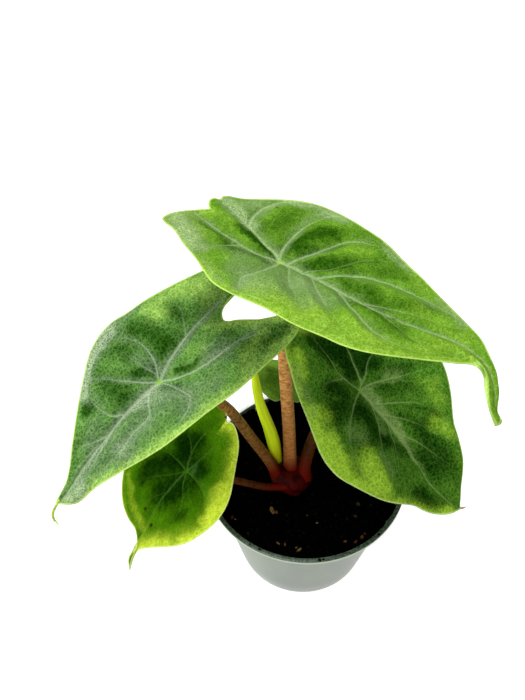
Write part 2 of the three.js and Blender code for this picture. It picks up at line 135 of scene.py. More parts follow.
class Paint:
    """A material's nodes round its Principled shader, whose constant sockets are given by name."""

    def __init__(self, name, constants):
        self.material = bpy.data.materials.new(name)
        self.material.use_nodes = True
        self.tree = self.material.node_tree
        self.shader = self.tree.nodes["Principled BSDF"]
        for socket, value in constants.items():
            self.feed(self.shader.inputs[socket], value)

    def feed(self, socket, value):
        """Links a wire to a socket, or sets a number, vector or colour on it."""
        if isinstance(value, Wire):
            self.tree.links.new(value.socket, socket)
        elif socket.type == "RGBA":
            socket.default_value = (*value[:3], 1)
        else:
            socket.default_value = value

    def node(self, kind, sockets, output=0, **settings):
        """Any node: its settings first, then the values or wires of its sockets."""
        made = self.tree.nodes.new("ShaderNode" + kind)
        for name, value in settings.items():
            setattr(made, name, value)
        for name, value in sockets.items():
            self.feed(made.inputs[name], value)
        return Wire(self, made.outputs[output])

    def mix(self, share, first, second):
        """first where the share is 0 and second where it is 1: both are colours."""
        return self.node("Mix", {0: share, 6: first, 7: second}, output=2, data_type="RGBA")

    def rise(self, value, low, high):
        """0 below low, 1 above high and smooth between. With low above high it falls instead."""
        sockets = {"Value": value, "From Min": low, "From Max": high}
        return self.node("MapRange", sockets, interpolation_type="SMOOTHSTEP")

    def noise(self, place, scale, detail=2.0, output=0):
        return self.node("TexNoise", {"Vector": place, "Scale": scale, "Detail": detail}, output=output)

    def scaled(self, place, factors):
        """A vector with each of its parts multiplied."""
        return self.node("VectorMath", {0: place, 1: factors}, operation="MULTIPLY")

    def length(self, vector):
        return self.node("VectorMath", {0: vector}, "Value", operation="LENGTH")

    def part(self, vector, axis):
        """The X, Y or Z of a vector."""
        return self.node("SeparateXYZ", {"Vector": vector}, output=axis)

    def attribute(self, name, output="Vector"):
        return self.node("Attribute", {}, output=output, attribute_name=name)

    def object_place(self):
        """The place on the object in millimetres."""
        return self.scaled(self.node("TexCoord", {}, output="Object"), (1000, 1000, 1000))

    def surface(self, colour, strength, distance, height):
        """Feeds the Base Color, and the Normal with a bump of the height, its distance in metres."""
        self.feed(self.shader.inputs["Base Color"], colour)
        bump = self.node("Bump", {"Strength": strength, "Distance": distance, "Height": height})
        self.feed(self.shader.inputs["Normal"], bump)


def tone(code):
    """A display colour such as 5a7f2b as the linear colour that a material takes."""
    parts = [int(code[i : i + 2], 16) / 255 for i in (0, 2, 4)]
    return tuple(c / 12.92 if c <= 0.04045 else ((c + 0.055) / 1.055) ** 2.4 for c in parts)


MM = 0.001


def mesh_piece(name, points, faces, paint):
    """A piece from points in millimetres and faces as lists of point numbers."""
    mesh = bpy.data.meshes.new(name)
    mesh.from_pydata((points * MM).tolist(), [], faces)
    mesh.materials.append(paint.material)
    return in_scene(name, mesh)


def closed_surface(name, rows, paint, ends=None):
    """rows[i, j] is place j round row i, in millimetres. The two points in ends close the first and last
    row as fans. Without them a ladder of quads closes each, from place j across to the place as far the
    other way round. The faces point along the row times the way to the next row."""
    count, around = rows.shape[:2]
    points = rows.reshape(-1, 3)
    j = np.arange(around)
    beside = (j + 1) % around
    i = around * np.arange(count - 1)[:, None]
    last = len(points) - around
    quads = np.stack([i + j, i + beside, i + around + beside, i + around + j], -1).reshape(-1, 4)
    if ends is None:
        half = around // 2
        k = np.arange(1, half - 1)
        rungs = np.stack([k + 1, k, around - k, around - k - 1], -1)
        corners = np.array([[1, 0, around - 1], [half, half - 1, half + 1]])
        caps = [rungs, corners, rungs[:, ::-1] + last, corners[:, ::-1] + last]
    else:
        pole = 0 * j + len(points)
        caps = [np.stack([pole, beside, j], -1), np.stack([pole + 1, last + j, last + beside], -1)]
        points = np.vstack([points, *ends])
    faces = quads.tolist() + [face for cap in caps for face in cap.tolist()]
    piece = mesh_piece(name, points, faces, paint)
    piece.data.shade_smooth()
    return piece


def rounded(corners, reach, steps=5):
    """A profile through corners, each replaced by a parabola that starts reach before it and ends reach
    after it, or at 0.45 of a side that is short."""
    corners = np.array(corners, float)
    t = np.linspace(0, 1, steps)[:, None]
    line = [corners[:1]]
    for before, corner, after in zip(corners, corners[1:], corners[2:]):
        sides = [before - corner, after - corner]
        lengths = [np.linalg.norm(side) for side in sides]
        near = [corner + side * min(reach / length, 0.45) for side, length in zip(sides, lengths)]
        line.append((1 - t) ** 2 * near[0] + 2 * t * (1 - t) * corner + t**2 * near[1])
    line.append(corners[-1:])
    return np.vstack(line)


def smooth(low, high, x):
    """0 below low, 1 above high and a smooth cubic between."""
    t = np.clip((x - low) / (high - low), 0, 1)
    return t * t * (3 - 2 * t)


POT_HEIGHT = 60.0
RIM_RADIUS = 45.0
MOUTH_RADIUS = 42.9
LIP_HEIGHT = 2.2
SHOULDER = (40.8, 55.4)
FOOT_RADIUS = 29.8
FOOT_WIDTH = 2.4
FLOOR_RISE = 1.5
FLOOR = 1.6
PAD_RADIUS = 9.0
WALL = 1.0
LIP_EDGE = 0.5
POT_FACETS = 192
DRAINS = 6
DRAIN_RADIUS = 2.6
DRAIN_CIRCLE = 18.5
DRAIN_FACETS = 32
DRAIN_REACH = 1.0
STEP_SLOPE = 0.5
POLE = 0.3
SHARP_ANGLE = 35
lip_foot = POT_HEIGHT - LIP_HEIGHT
floor_top = FLOOR_RISE + FLOOR
inner_foot = FOOT_RADIUS - WALL + (SHOULDER[0] - FOOT_RADIUS) * floor_top / SHOULDER[1]
pot_profile = rounded(
    [
        (POLE, 0),
        (PAD_RADIUS, 0),
        (PAD_RADIUS + STEP_SLOPE, FLOOR_RISE),
        (FOOT_RADIUS - FOOT_WIDTH - STEP_SLOPE, FLOOR_RISE),
        (FOOT_RADIUS - FOOT_WIDTH, 0),
        (FOOT_RADIUS, 0),
        SHOULDER,
        (RIM_RADIUS - 0.2, lip_foot),
        (RIM_RADIUS, POT_HEIGHT),
        (MOUTH_RADIUS, POT_HEIGHT),
        (MOUTH_RADIUS, lip_foot),
        (SHOULDER[0] - WALL, SHOULDER[1]),
        (inner_foot, floor_top),
        (POLE, floor_top),
    ],
    LIP_EDGE,
)


def spun(profile, around, centre=(0, 0)):
    """Each (radius, height) of a profile carried once round an upright axis through the centre."""
    turn = np.linspace(0, 2 * np.pi, around, endpoint=False)
    ring = np.stack([np.cos(turn), np.sin(turn), 0 * turn], -1)
    heights = profile[:, None, 1:] * np.array([0, 0, 1])
    return profile[:, None, :1] * ring + heights + np.array([*centre, 0])


# The wall is smudged, and pales towards the table with painted light from the white table. The lip is
# painted lighter, brightest at the back where the light falls on it, dark where it meets the peat with
# soil smear and painted shade, and darkened along its top in front with soil smear and painted shade.
plastic = Paint("pot_plastic", {"Roughness": 0.32, "IOR": 1.49})
at = plastic.object_place()
depth = plastic.part(at, "Y")
height = plastic.part(at, "Z")
smudge = plastic.noise(plastic.scaled(at, (1, 1, 0.5)), 0.07, 4)
dust = plastic.noise(at, 0.9, 4)
wall_tone = plastic.mix(plastic.rise(smudge, 0.35, 0.65), tone("556253"), tone("5f6c57"))
# Paler towards the table: painted light from the white table below.
wall_tone = plastic.mix(plastic.rise(height, 12, 0) * 0.4, wall_tone, tone("a9aca6"))
# Painted light on the lip: paler than the wall, and brightest at the back, where the light falls.
lip_painted_light = plastic.mix(plastic.rise(depth, 0, 25), tone("a3b394"), tone("eef2ea"))
lip_tone = plastic.mix(plastic.rise(height, lip_foot - 1.3, lip_foot + 0.8), wall_tone, lip_painted_light)
near = plastic.rise(depth, 12, -20)
radial = plastic.length(plastic.scaled(at, (1, 1, 0)))
# The inner lip above the peat is darkened: soil smeared on it, and painted shade inside the mouth.
inner_lip = plastic.rise(radial, MOUTH_RADIUS + 0.7, MOUTH_RADIUS + 0.2)
inner_lip = inner_lip * plastic.rise(height, lip_foot - 0.6, lip_foot - 0.2)
lip_tone = plastic.mix(inner_lip * 0.9, lip_tone, tone("0c0b08"))
# The lip's top is darkened only in front: soil smeared on it, and painted shade on the near side, which faces
# away from the light.
stain = plastic.rise(height + dust * 0.8, POT_HEIGHT - 0.6, POT_HEIGHT + 0.2) * near
smear_and_shade_tone = plastic.mix(plastic.rise(dust, 0.4, 0.6), tone("2e3a30"), tone("526152"))
pot_tone = plastic.mix(stain, lip_tone, smear_and_shade_tone)
plastic.surface(pot_tone, 0.12, 0.0002, plastic.noise(at, 1.4, 3))

pot = closed_surface("nursery_pot", spun(pot_profile, POT_FACETS), plastic, [(0, 0, 0), (0, 0, floor_top)])
plug_foot = FLOOR_RISE - DRAIN_REACH
plug_top = floor_top + DRAIN_REACH
drains = bpy.data.collections.new("drains")
for i in range(DRAINS):
    turn = 2 * np.pi * i / DRAINS
    centre = (DRAIN_CIRCLE * math.cos(turn), DRAIN_CIRCLE * math.sin(turn))
    plug = spun(np.array([(DRAIN_RADIUS, plug_foot), (DRAIN_RADIUS, plug_top)]), DRAIN_FACETS, centre)
    drain = closed_surface(f"drain_{i}", plug, plastic, [(*centre, plug_foot), (*centre, plug_top)])
    drains.objects.link(drain)
cut = pot.modifiers.new("drains", "BOOLEAN")
cut.operand_type = "COLLECTION"
cut.collection = drains
cut.solver = "EXACT"
pot.data = bpy.data.meshes.new_from_object(pot.evaluated_get(bpy.context.evaluated_depsgraph_get()))
pot.modifiers.clear()
pot.data.set_sharp_from_angle(angle=math.radians(SHARP_ANGLE))
for drain in list(drains.objects):
    bpy.data.objects.remove(drain)
bpy.data.collections.remove(drains)
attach(pot, "root")
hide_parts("pot")


# The soil
# Damp black peat to just under the lip: an uneven crust of crumbs, with loose crumbs, bark chips and a
# few grains of pale grit lying in it. The crust is one skin, and the loose bits are three joined meshes,
# of which one lies spilt on the lip.
LATTICE = 64


def lattice_noise(x, y, seed):
    """Smooth noise from -1 to 1: random values at whole numbers, joined by a cubic between them."""
    table = np.random.default_rng(seed).uniform(-1, 1, (LATTICE, LATTICE))
    i = np.floor(x).astype(int)
    j = np.floor(y).astype(int)
    s = smooth(0, 1, x - i)
    t = smooth(0, 1, y - j)

    def row(k):
        return table[i % LATTICE, k % LATTICE] * (1 - s) + table[(i + 1) % LATTICE, k % LATTICE] * s

    return row(j) * (1 - t) + row(j + 1) * t


CROWN_CENTRE = (-6.4, -2.0)
SOIL_LEVEL = 56.4
SOIL_MOUND = 1.2
SOIL_LUMPS = 0.45
SOIL_RADIUS = 42.6
# The crust's side ends just inside the wall's plastic, so that no gap shows.
SOIL_EDGE = (40.1, 55.2)
SOIL_GAP = 0.3
SOIL_RINGS = 120
SOIL_SPOKES = 300
BANK_WIDTH = 4
MOUND_WIDTH = 16


def soil_height(x, y):
    """A level surface with a low mound round the crown and a low bank against the wall, broad lumps from
    three waves, and crumbs from three octaves of lattice noise."""
    from_crown = np.hypot(x - CROWN_CENTRE[0], y - CROWN_CENTRE[1])
    bank = smooth(SOIL_RADIUS - BANK_WIDTH, SOIL_RADIUS, np.hypot(x, y))
    bank *= 1.5 + 0.5 * lattice_noise(x / 5, y / 5, 9)
    lumps = np.sin(0.31 * x + 1.3) * np.cos(0.27 * y - 0.4)
    lumps += 0.6 * np.sin(0.62 * x - 0.55 * y) + 0.4 * np.cos(0.9 * y + 0.41 * x + 2)
    crumbs = sum(
        size * lattice_noise(x / pitch, y / pitch, seed)
        for seed, (pitch, size) in enumerate([(3.1, 0.5), (1.5, 0.4), (0.8, 0.25)])
    )
    mound = SOIL_MOUND * np.exp(-((from_crown / MOUND_WIDTH) ** 2))
    return SOIL_LEVEL + mound + SOIL_LUMPS * lumps + bank + crumbs


soil_angle = np.linspace(0, 2 * np.pi, SOIL_SPOKES, endpoint=False)
soil_rings = np.linspace(SOIL_RADIUS, POLE, SOIL_RINGS)
soil_radius = np.concatenate([[inner_foot - SOIL_GAP, SOIL_EDGE[0]], soil_rings])
soil_x = soil_radius[:, None] * np.cos(soil_angle)
soil_y = soil_radius[:, None] * np.sin(soil_angle)
soil_z = soil_height(soil_x, soil_y)
soil_z[0] = floor_top + SOIL_GAP
soil_z[1] = SOIL_EDGE[1]

peat = Paint("peat", {"Roughness": 1.0, "Specular IOR Level": 0.0})
at = peat.object_place()
crumb = peat.noise(at, 0.9, 5)
peat_tone = peat.mix(peat.rise(crumb, 0.45, 0.8), tone("010101"), tone("0a0705"))
peat.surface(peat_tone, 0.8, 0.0006, peat.noise(at, 1.8, 5))

soil_rows = np.stack([soil_x, soil_y, soil_z], -1)
soil_ends = [(0, 0, soil_z[0, 0]), (0, 0, soil_z[-1].mean())]
soil = closed_surface("soil_crust", soil_rows, peat, soil_ends)
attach(soil, "root")
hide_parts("soil")


def mark(piece, name, values, domain="POINT"):
    """Keeps an array on the mesh for its material: a number or three for each point or face corner."""
    values = np.asarray(values, np.float32)
    kind = "FLOAT" if values.ndim == 1 else "FLOAT_VECTOR"
    layer = piece.data.attributes.new(name, kind, domain)
    layer.data.foreach_set("value" if values.ndim == 1 else "vector", values.ravel())


BALL_SIDES = 6


def grains(name, places, sizes, tones, seed):
    """Loose bits as one mesh. Each is a ball of three rings of points and two poles, with its own
    three half widths in sizes, turned on its upright axis, and every point pushed in or out at random."""
    draw = np.random.default_rng(seed)
    rise = np.array([0.7, 0, -0.7])[:, None] + np.zeros(BALL_SIDES)
    turn = np.linspace(0, 2 * np.pi, BALL_SIDES, endpoint=False) + np.array([0, 0.5, 1])[:, None]
    flat = np.sqrt(1 - rise**2)
    ball = np.stack([flat * np.cos(turn), flat * np.sin(turn), rise], -1).reshape(-1, 3)
    ball = np.vstack([ball, (0, 0, 1), (0, 0, -1)])
    count = len(places)
    shapes = ball * draw.uniform(0.75, 1.2, (count, len(ball), 1)) * np.asarray(sizes)[:, None]
    spin = draw.uniform(0, 2 * np.pi, (count, 1))
    x, y, z = np.moveaxis(shapes, -1, 0)
    shapes = np.stack([x * np.cos(spin) - y * np.sin(spin), x * np.sin(spin) + y * np.cos(spin), z], -1)
    points = (np.asarray(places)[:, None] + shapes).reshape(-1, 3)
    j = np.arange(BALL_SIDES)
    beside = (j + 1) % BALL_SIDES
    low = 2 * BALL_SIDES
    pole = 0 * j + 3 * BALL_SIDES
    band = np.stack([j, j + BALL_SIDES, beside + BALL_SIDES, beside], -1)
    first = len(ball) * np.arange(count)[:, None, None]
    quads = (np.concatenate([band, band + BALL_SIDES]) + first).reshape(-1, 4)
    fans = [np.stack([pole, j, beside], -1), np.stack([pole + 1, beside + low, j + low], -1)]
    triangles = (np.concatenate(fans) + first).reshape(-1, 3)
    piece = mesh_piece(name, points, quads.tolist() + triangles.tolist(), grit)
    mark(piece, "grit_tone", np.repeat(np.asarray(tones), len(ball), axis=0))
    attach(piece, "root")


grit = Paint("grit", {"Roughness": 0.9, "Specular IOR Level": 0.05})
stain = grit.noise(grit.object_place(), 1.6, 3)
own = grit.scaled(grit.attribute("grit_tone"), (0.45, 0.45, 0.45))
grit_tone = grit.mix(grit.rise(stain, 0.35, 0.6), grit.scaled(own, (0.45, 0.4, 0.4)), own)
grit.surface(grit_tone, 0.5, 0.0003, stain)

draw = np.random.default_rng(5)
CRUMBS = 700
crumb_radius = (SOIL_RADIUS - 0.6) * np.sqrt(draw.uniform(0, 1, CRUMBS))
crumb_turn = draw.uniform(0, 2 * np.pi, CRUMBS)
crumb_x = crumb_radius * np.cos(crumb_turn)
crumb_y = crumb_radius * np.sin(crumb_turn)
crumb_size = draw.uniform(0.2, 0.75, (CRUMBS, 1)) * draw.uniform(0.6, 1.2, (CRUMBS, 3))
crumb_place = np.stack([crumb_x, crumb_y, soil_height(crumb_x, crumb_y)], -1)
crumb_shade = draw.uniform(0, 1, (CRUMBS, 1)) ** 6
crumb_tone = (1 - crumb_shade) * np.array(tone("080605")) + crumb_shade * np.array(tone("30231a"))
grains("peat_crumbs", crumb_place, crumb_size, crumb_tone, 6)

# Bark chips and grit: x, y, half length, half width and tone.
CHIPS = [
    (-14.9, -18.7, 2.2, 1.0, "a9824c"),
    (-13.0, -19.4, 1.1, 0.7, "7a5a34"),
    (-32.3, -21.4, 1.3, 0.7, "6e4536"),
    (-31.0, -22.3, 0.6, 0.5, "8a7a6a"),
    (0.3, -21.4, 0.6, 0.4, "56564f"),
    (4.5, -24.4, 0.55, 0.45, "8a8a84"),
    (22.9, -14.9, 1.3, 0.8, "5d4636"),
    (21.4, -21.4, 1.0, 0.7, "573c2e"),
    (-25.3, -29.7, 0.8, 0.5, "43301f"),
    (-12.4, -34.5, 1.1, 0.6, "97713f"),
    (-9.5, -35.4, 0.8, 0.5, "845c32"),
    (-3.5, -37.3, 1.4, 0.6, "b0905a"),
    (-4.6, -36.4, 0.7, 0.5, "8b6a3c"),
    (16.2, -33.5, 0.9, 0.6, "a9612b"),
    (20.9, -33.5, 1.0, 0.7, "8d452c"),
    (23.6, -31.1, 1.5, 0.8, "a66a34"),
    (25.0, -29.6, 0.8, 0.6, "6d3f22"),
]
CHIP_RAISE = 0.45
chip_x, chip_y, chip_long, chip_wide = np.array([chip[:4] for chip in CHIPS]).T
chip_size = np.stack([chip_long, chip_wide, 0.6 * chip_wide], -1)
chip_place = np.stack([chip_x, chip_y, soil_height(chip_x, chip_y) + CHIP_RAISE], -1)
grains("bark_and_grit", chip_place, chip_size, [tone(chip[4]) for chip in CHIPS], 7)

# Crumbs that lie spilt on the lip: x, y and half width.
SPILLS = [(4.8, -43.9, 0.9), (6.4, -43.6, 0.6), (-20.4, -38.9, 0.7), (-24.5, -36.6, 0.5), (30.5, -31.9, 0.7)]
spill_place = [(x, y, POT_HEIGHT + 0.15) for x, y, size in SPILLS]
spill_size = [(size, 0.8 * size, 0.5 * size) for x, y, size in SPILLS]
grains("spilt_peat", spill_place, spill_size, [tone("0a0705")] * len(SPILLS), 8)


# Blades
# Each leaf is one soft blade, held at its navel: it puffs up between sunken veins on top, and the midrib,
# lobe ribs and side veins stand out as ridges underneath. Top and under skin meet at the waved margin.
def smooth_curve(points, shares):
    """The centripetal Catmull-Rom curve through points at shares 0 to 1 of its spans: between two points
    it blends the chords before, along and after, each timed by the root of its length."""
    points = np.asarray(points, float)
    chain = np.vstack([2 * points[0] - points[1], points, 2 * points[-1] - points[-2]])
    place = np.clip(np.asarray(shares) * (len(points) - 1), 0, len(points) - 1 - 1e-9)
    k = place.astype(int)
    p = [chain[k + i] for i in range(4)]
    gaps = [np.sqrt(np.linalg.norm(p[i + 1] - p[i], axis=-1)) for i in range(3)]
    times = [0 * gaps[0], gaps[0], gaps[0] + gaps[1], gaps[0] + gaps[1] + gaps[2]]
    t = times[1] + (place - k) * gaps[1]

    def between(a, b, i, j):
        share = ((t - times[i]) / (times[j] - times[i]))[:, None]
        return (1 - share) * a + share * b

    chords = [between(p[i], p[i + 1], i, i + 1) for i in range(3)]
    bends = [between(chords[i], chords[i + 1], i, i + 2) for i in range(2)]
    return between(bends[0], bends[1], 1, 2)


FINE_POINTS = 1500


def along(points, count, by_length=1.0):
    """count points of the smooth curve, spaced by its length, or partly by its spans."""
    fine_shares = np.linspace(0, 1, FINE_POINTS)
    line = smooth_curve(points, fine_shares)
    length = np.concatenate([[0], np.cumsum(np.linalg.norm(np.diff(line, axis=0), axis=1))])
    even = np.linspace(0, 1, count)
    shares = by_length * np.interp(even, length / length[-1], fine_shares) + (1 - by_length) * even
    return smooth_curve(points, shares)


def arc(curvature, length):
    """How far an arc gets along its first direction, and how far off it."""
    bend = np.where(np.abs(curvature) < 1e-9, 1e-9, curvature)
    return np.sin(bend * length) / bend, (1 - np.cos(bend * length)) / bend


def leaf_axes(leaf):
    """The midrib's first direction, the way to its right, and the blade's upward normal."""
    heading, dip, roll = np.radians([leaf["heading"], leaf["dip"], leaf["roll"]])
    forward = np.array([np.cos(heading) * np.cos(dip), np.sin(heading) * np.cos(dip), -np.sin(dip)])
    level = np.array([np.sin(heading), -np.cos(heading), 0])
    upward = np.cross(level, forward)
    right = level * np.cos(roll) - upward * np.sin(roll)
    up = upward * np.cos(roll) + level * np.sin(roll)
    return forward, right, up


CURL_WIDTH = 40.0


def blade_point(leaf, u, v, lift):
    """The blade's middle surface at (u, v), u along the midrib from the navel and v to its right. The
    midrib is three arcs, for lobes, blade and drip tip. Each side is an arc turned by the fold, and lift
    raises the point along the midrib's normal."""
    forward, right, up = leaf_axes(leaf)
    droop = np.radians(leaf["droop"])
    bends = droop / leaf["length"], np.radians(leaf["tip_bend"]) / leaf["tip"]
    lobe_bend = np.radians(leaf["back"]) / leaf["lobe_reach"]
    on_blade = np.clip(u, 0, leaf["length"])
    on_tip = np.maximum(u - leaf["length"], 0)
    on_lobe = np.maximum(-u, 0)
    blade_far, blade_down = arc(bends[0], on_blade)
    tip_far, tip_down = arc(bends[1], on_tip)
    lobe_far, lobe_down = arc(lobe_bend, on_lobe)
    far = blade_far + tip_far * np.cos(droop) - tip_down * np.sin(droop) - lobe_far
    down = blade_down + tip_far * np.sin(droop) + tip_down * np.cos(droop) + lobe_down
    slope = (bends[0] * on_blade + bends[1] * on_tip - lobe_bend * on_lobe)[..., None]
    normal = up * np.cos(slope) + forward * np.sin(slope)

    curl = np.radians(np.where(v > 0, leaf["curl"][0], leaf["curl"][1])) / CURL_WIDTH
    flat_out, flat_down = arc(curl, np.abs(v))
    fold = np.radians(leaf["fold"])
    out = flat_out * np.cos(fold) - flat_down * np.sin(fold)
    side_down = flat_out * np.sin(fold) + flat_down * np.cos(fold)
    middle = np.array(leaf["navel"]) + far[..., None] * forward - down[..., None] * up
    middle = middle + (np.sign(v) * out)[..., None] * right
    return middle + (lift - side_down)[..., None] * normal


SPOKES = 460
TOP_RINGS = 104
UNDER_RINGS = 44
HALF_THICKNESS = 0.32
MARGIN_THINNING = 0.6
PUFF_WIDTH = 3.6
RIB_DEPTH = 1.7
RIB_WIDTH = 0.45
RIDGE_LIMIT = 0.7
GROOVE = 1.2
HAZE_WIDTH = 0.7
HAZE_GROWTH = 1.8
HAZE_SHARE = 0.8
FOLD_SHADE_GAP = 1.2
FOLD_SHADE_WIDTH = 1.1
FOLD_SHADE_SHARE = 0.55
RING_CROWDING = 0.85
VEIN_POINTS = 28
VEIN_TAPER = 0.85
VEIN_END = 0.7
THIN_VEIN = 0.15
TIP_FADE_START = 4
TIP_FADE_END = 5


def margin(leaf):
    """The outline once round from the drip tip, over the right side to the sinus and back over the left."""
    right, left = (along(leaf["outline"][side], SPOKES // 2 + 1, 0.7) for side in ("right", "left"))
    return np.vstack([right, left[::-1][1:-1]])


def spine(leaf, outline):
    """The middle that each outline point's spoke starts from: the navel for the lobes, and a place ever
    further along the midrib towards the drip tip."""
    tip = outline[0, 0]
    share = np.clip(outline[:, 0] / tip, 0, 1) ** 2
    midrib = along(leaf["veins"][0][1], 200)
    u = (tip - 2) * share
    return np.stack([u, np.interp(u, midrib[:, 0], midrib[:, 1])], -1)


def line_gap(u, v, line):
    """For points (u, v) and a line of points: each one's distance to the line, the signed distance across
    it, its run along the line from 0 to 1, and how far it lies past the line's end."""
    start = line[:-1]
    step = np.diff(line, axis=0)
    size = np.linalg.norm(step, axis=1)
    du = u[:, None] - start[:, 0]
    dv = v[:, None] - start[:, 1]
    raw = (du * step[:, 0] + dv * step[:, 1]) / size**2
    t = np.clip(raw, 0, 1)
    gap = np.hypot(du - t * step[:, 0], dv - t * step[:, 1])
    k = gap.argmin(1)
    pick = (np.arange(len(u)), k)
    side = (step[k, 0] * dv[pick] - step[k, 1] * du[pick]) / size[k]
    return gap[pick], side, (k + t[pick]) / len(step), np.abs(raw[pick] - t[pick]) * size[k]


def warped(u, v, size, pitch, seed):
    """Points moved by up to size by smooth noise, so that what is drawn round there gets a free shape."""
    a = size * lattice_noise(u / pitch, v / pitch, seed)
    return u + a, v + size * lattice_noise(u / pitch, v / pitch, seed + 1)


STROKE_POINTS = 12


def strokes(u, v, lines):
    """Soft strokes (radius, strength, points) at each place, from 0 to 1: each falls off from its line as a
    bell. Where they overlap they add up."""
    total = np.zeros(u.size)
    for radius, strength, points in lines:
        gap = line_gap(u.ravel(), v.ravel(), along(points, STROKE_POINTS))[0]
        total += strength * np.exp(-((gap / radius) ** 2))
    return 1 - np.exp(-1.3 * total.reshape(u.shape))


def leaf_paint(name, leaf):
    """Leaf skin: two greens in soft clouds, then deep green, lime and silver by the leaf's own strokes, the
    deep green partly painted shade and the silver partly painted sheen, dark specks and darker hearts of
    the net's cells, and over them the pale net in two sizes, the main veins, two margin lines, the navel
    and brown spots. The under side is paler."""
    paint = Paint(name, {"Roughness": 0.6, "Specular IOR Level": 0.0})
    place = paint.attribute("leaf_place")
    tones = paint.attribute("leaf_tone")
    lime = paint.part(tones, "X")
    silver = paint.part(tones, "Y")
    dark = paint.part(tones, "Z")
    vein = paint.attribute("vein_line")
    across = paint.part(vein, "X")
    half = paint.part(vein, "Y")
    edge = paint.attribute("edge_gap", "Fac")
    under = paint.attribute("under_side", "Fac")
    spot = paint.attribute("brown_spot", "Fac")

    drift = paint.noise(place, 0.5, 2, "Color")
    drift = paint.node("VectorMath", {0: drift, 1: (0.5, 0.5, 0.5)}, operation="SUBTRACT")
    moved = paint.node("VectorMath", {0: drift, 1: (1.6, 1.6, 0), 2: place}, operation="MULTIPLY_ADD")

    def border(scale, randomness):
        """How far each place is from the border of its cell."""
        cells = {"Vector": moved, "Scale": scale, "Randomness": randomness}
        return paint.node("TexVoronoi", cells, "Distance", feature="DISTANCE_TO_EDGE")

    net = border(leaf["pitch"], 0.95)
    wide_net = border(0.19, 0.9)
    net_line = paint.rise(net, 0.17, 0.0)
    cell = paint.rise(net, 0.05, 0.36)
    wide_line = paint.rise(wide_net, 0.045, 0.005)
    cloud = paint.noise(place, 0.13, 3)
    fleck = paint.noise(place, 0.45, 4)
    speck = paint.noise(place, 0.85, 3)
    grain = paint.noise(place, 1.6, 4)

    dark_share = paint.rise(dark * (0.5 + fleck), 0.0, 0.75)
    lime_share = paint.rise(lime * (0.3 + fleck * 0.7 + grain * 0.7), 0.02, 0.85)
    silver_share = paint.rise(silver * (0.4 + fleck * 0.4 + grain * 0.8), 0.02, 0.85)
    skin = paint.mix(paint.rise(grain * 0.7 + cloud, 0.65, 1.05), tone(leaf["mid"]), tone(leaf["fresh"]))
    # Deep green: partly the leaf's own colour, partly painted shade of creases and of the leaves above.
    skin = paint.mix(dark_share, skin, tone(leaf["deep"]))
    skin = paint.mix(lime_share * 0.9, skin, tone(leaf["lime"]))
    # Silver haze: partly the leaf's silvering, partly painted sheen.
    skin = paint.mix(silver_share * leaf["silver"], skin, tone(leaf["haze"]))
    core = paint.rise(silver, 0.6, 1.0) * paint.rise(grain, 0.35, 0.6)
    skin = paint.mix(core * 0.75, skin, tone(leaf["vein"]))
    skin = paint.mix(paint.rise(speck, 0.55, 0.35) * 0.35, skin, paint.scaled(skin, (0.45, 0.55, 0.4)))
    clear = paint.rise(fleck + dark * 0.2, 0.25, 0.6)
    skin = paint.mix(cell * clear * leaf["cell"], skin, paint.scaled(skin, (0.35, 0.42, 0.25)))
    thread = paint.mix(lime_share, tone(leaf["pale"]), tone(leaf["bright"]))
    thread = paint.mix(dark_share * 0.6 + 0.3, thread, paint.scaled(skin, (2.4, 2.2, 2.0)))
    skin = paint.mix(net_line * clear * leaf["net"], skin, thread)
    skin = paint.mix(wide_line * leaf["net"] * 0.5, skin, thread)
    size = paint.node("Math", {0: across}, operation="ABSOLUTE")
    line = paint.rise(size - half, 0.5, -0.35) * paint.rise(half, 0.0, 0.3)
    line = line * (0.35 + paint.rise(grain, 0.3, 0.6) * 0.65)
    skin = paint.mix(line * leaf["line"], skin, tone(leaf["vein"]))
    inner_line = paint.rise(edge, 1.9, 2.2) * paint.rise(edge, 2.7, 2.3) * paint.rise(fleck, 0.35, 0.55)
    skin = paint.mix(inner_line * 0.2, skin, thread)
    skin = paint.mix(paint.rise(edge, 0.85, 0.3) * 0.65, skin, tone(leaf["rim_tone"]))
    centre = paint.length(place)
    skin = paint.mix(paint.rise(centre + grain * 1.4, 2.8, 1.1) * 0.65, skin, tone(leaf["navel_tone"]))
    skin = paint.mix(spot, skin, tone("2a1c0a"))
    below = paint.mix(0.5, skin, tone("7fa05c"))
    relief = net_line * -0.5 + grain * 0.6 + line * -0.6 + wide_line * -0.5
    paint.surface(paint.mix(under, skin, below), 0.8, 0.0003, relief)
    return paint


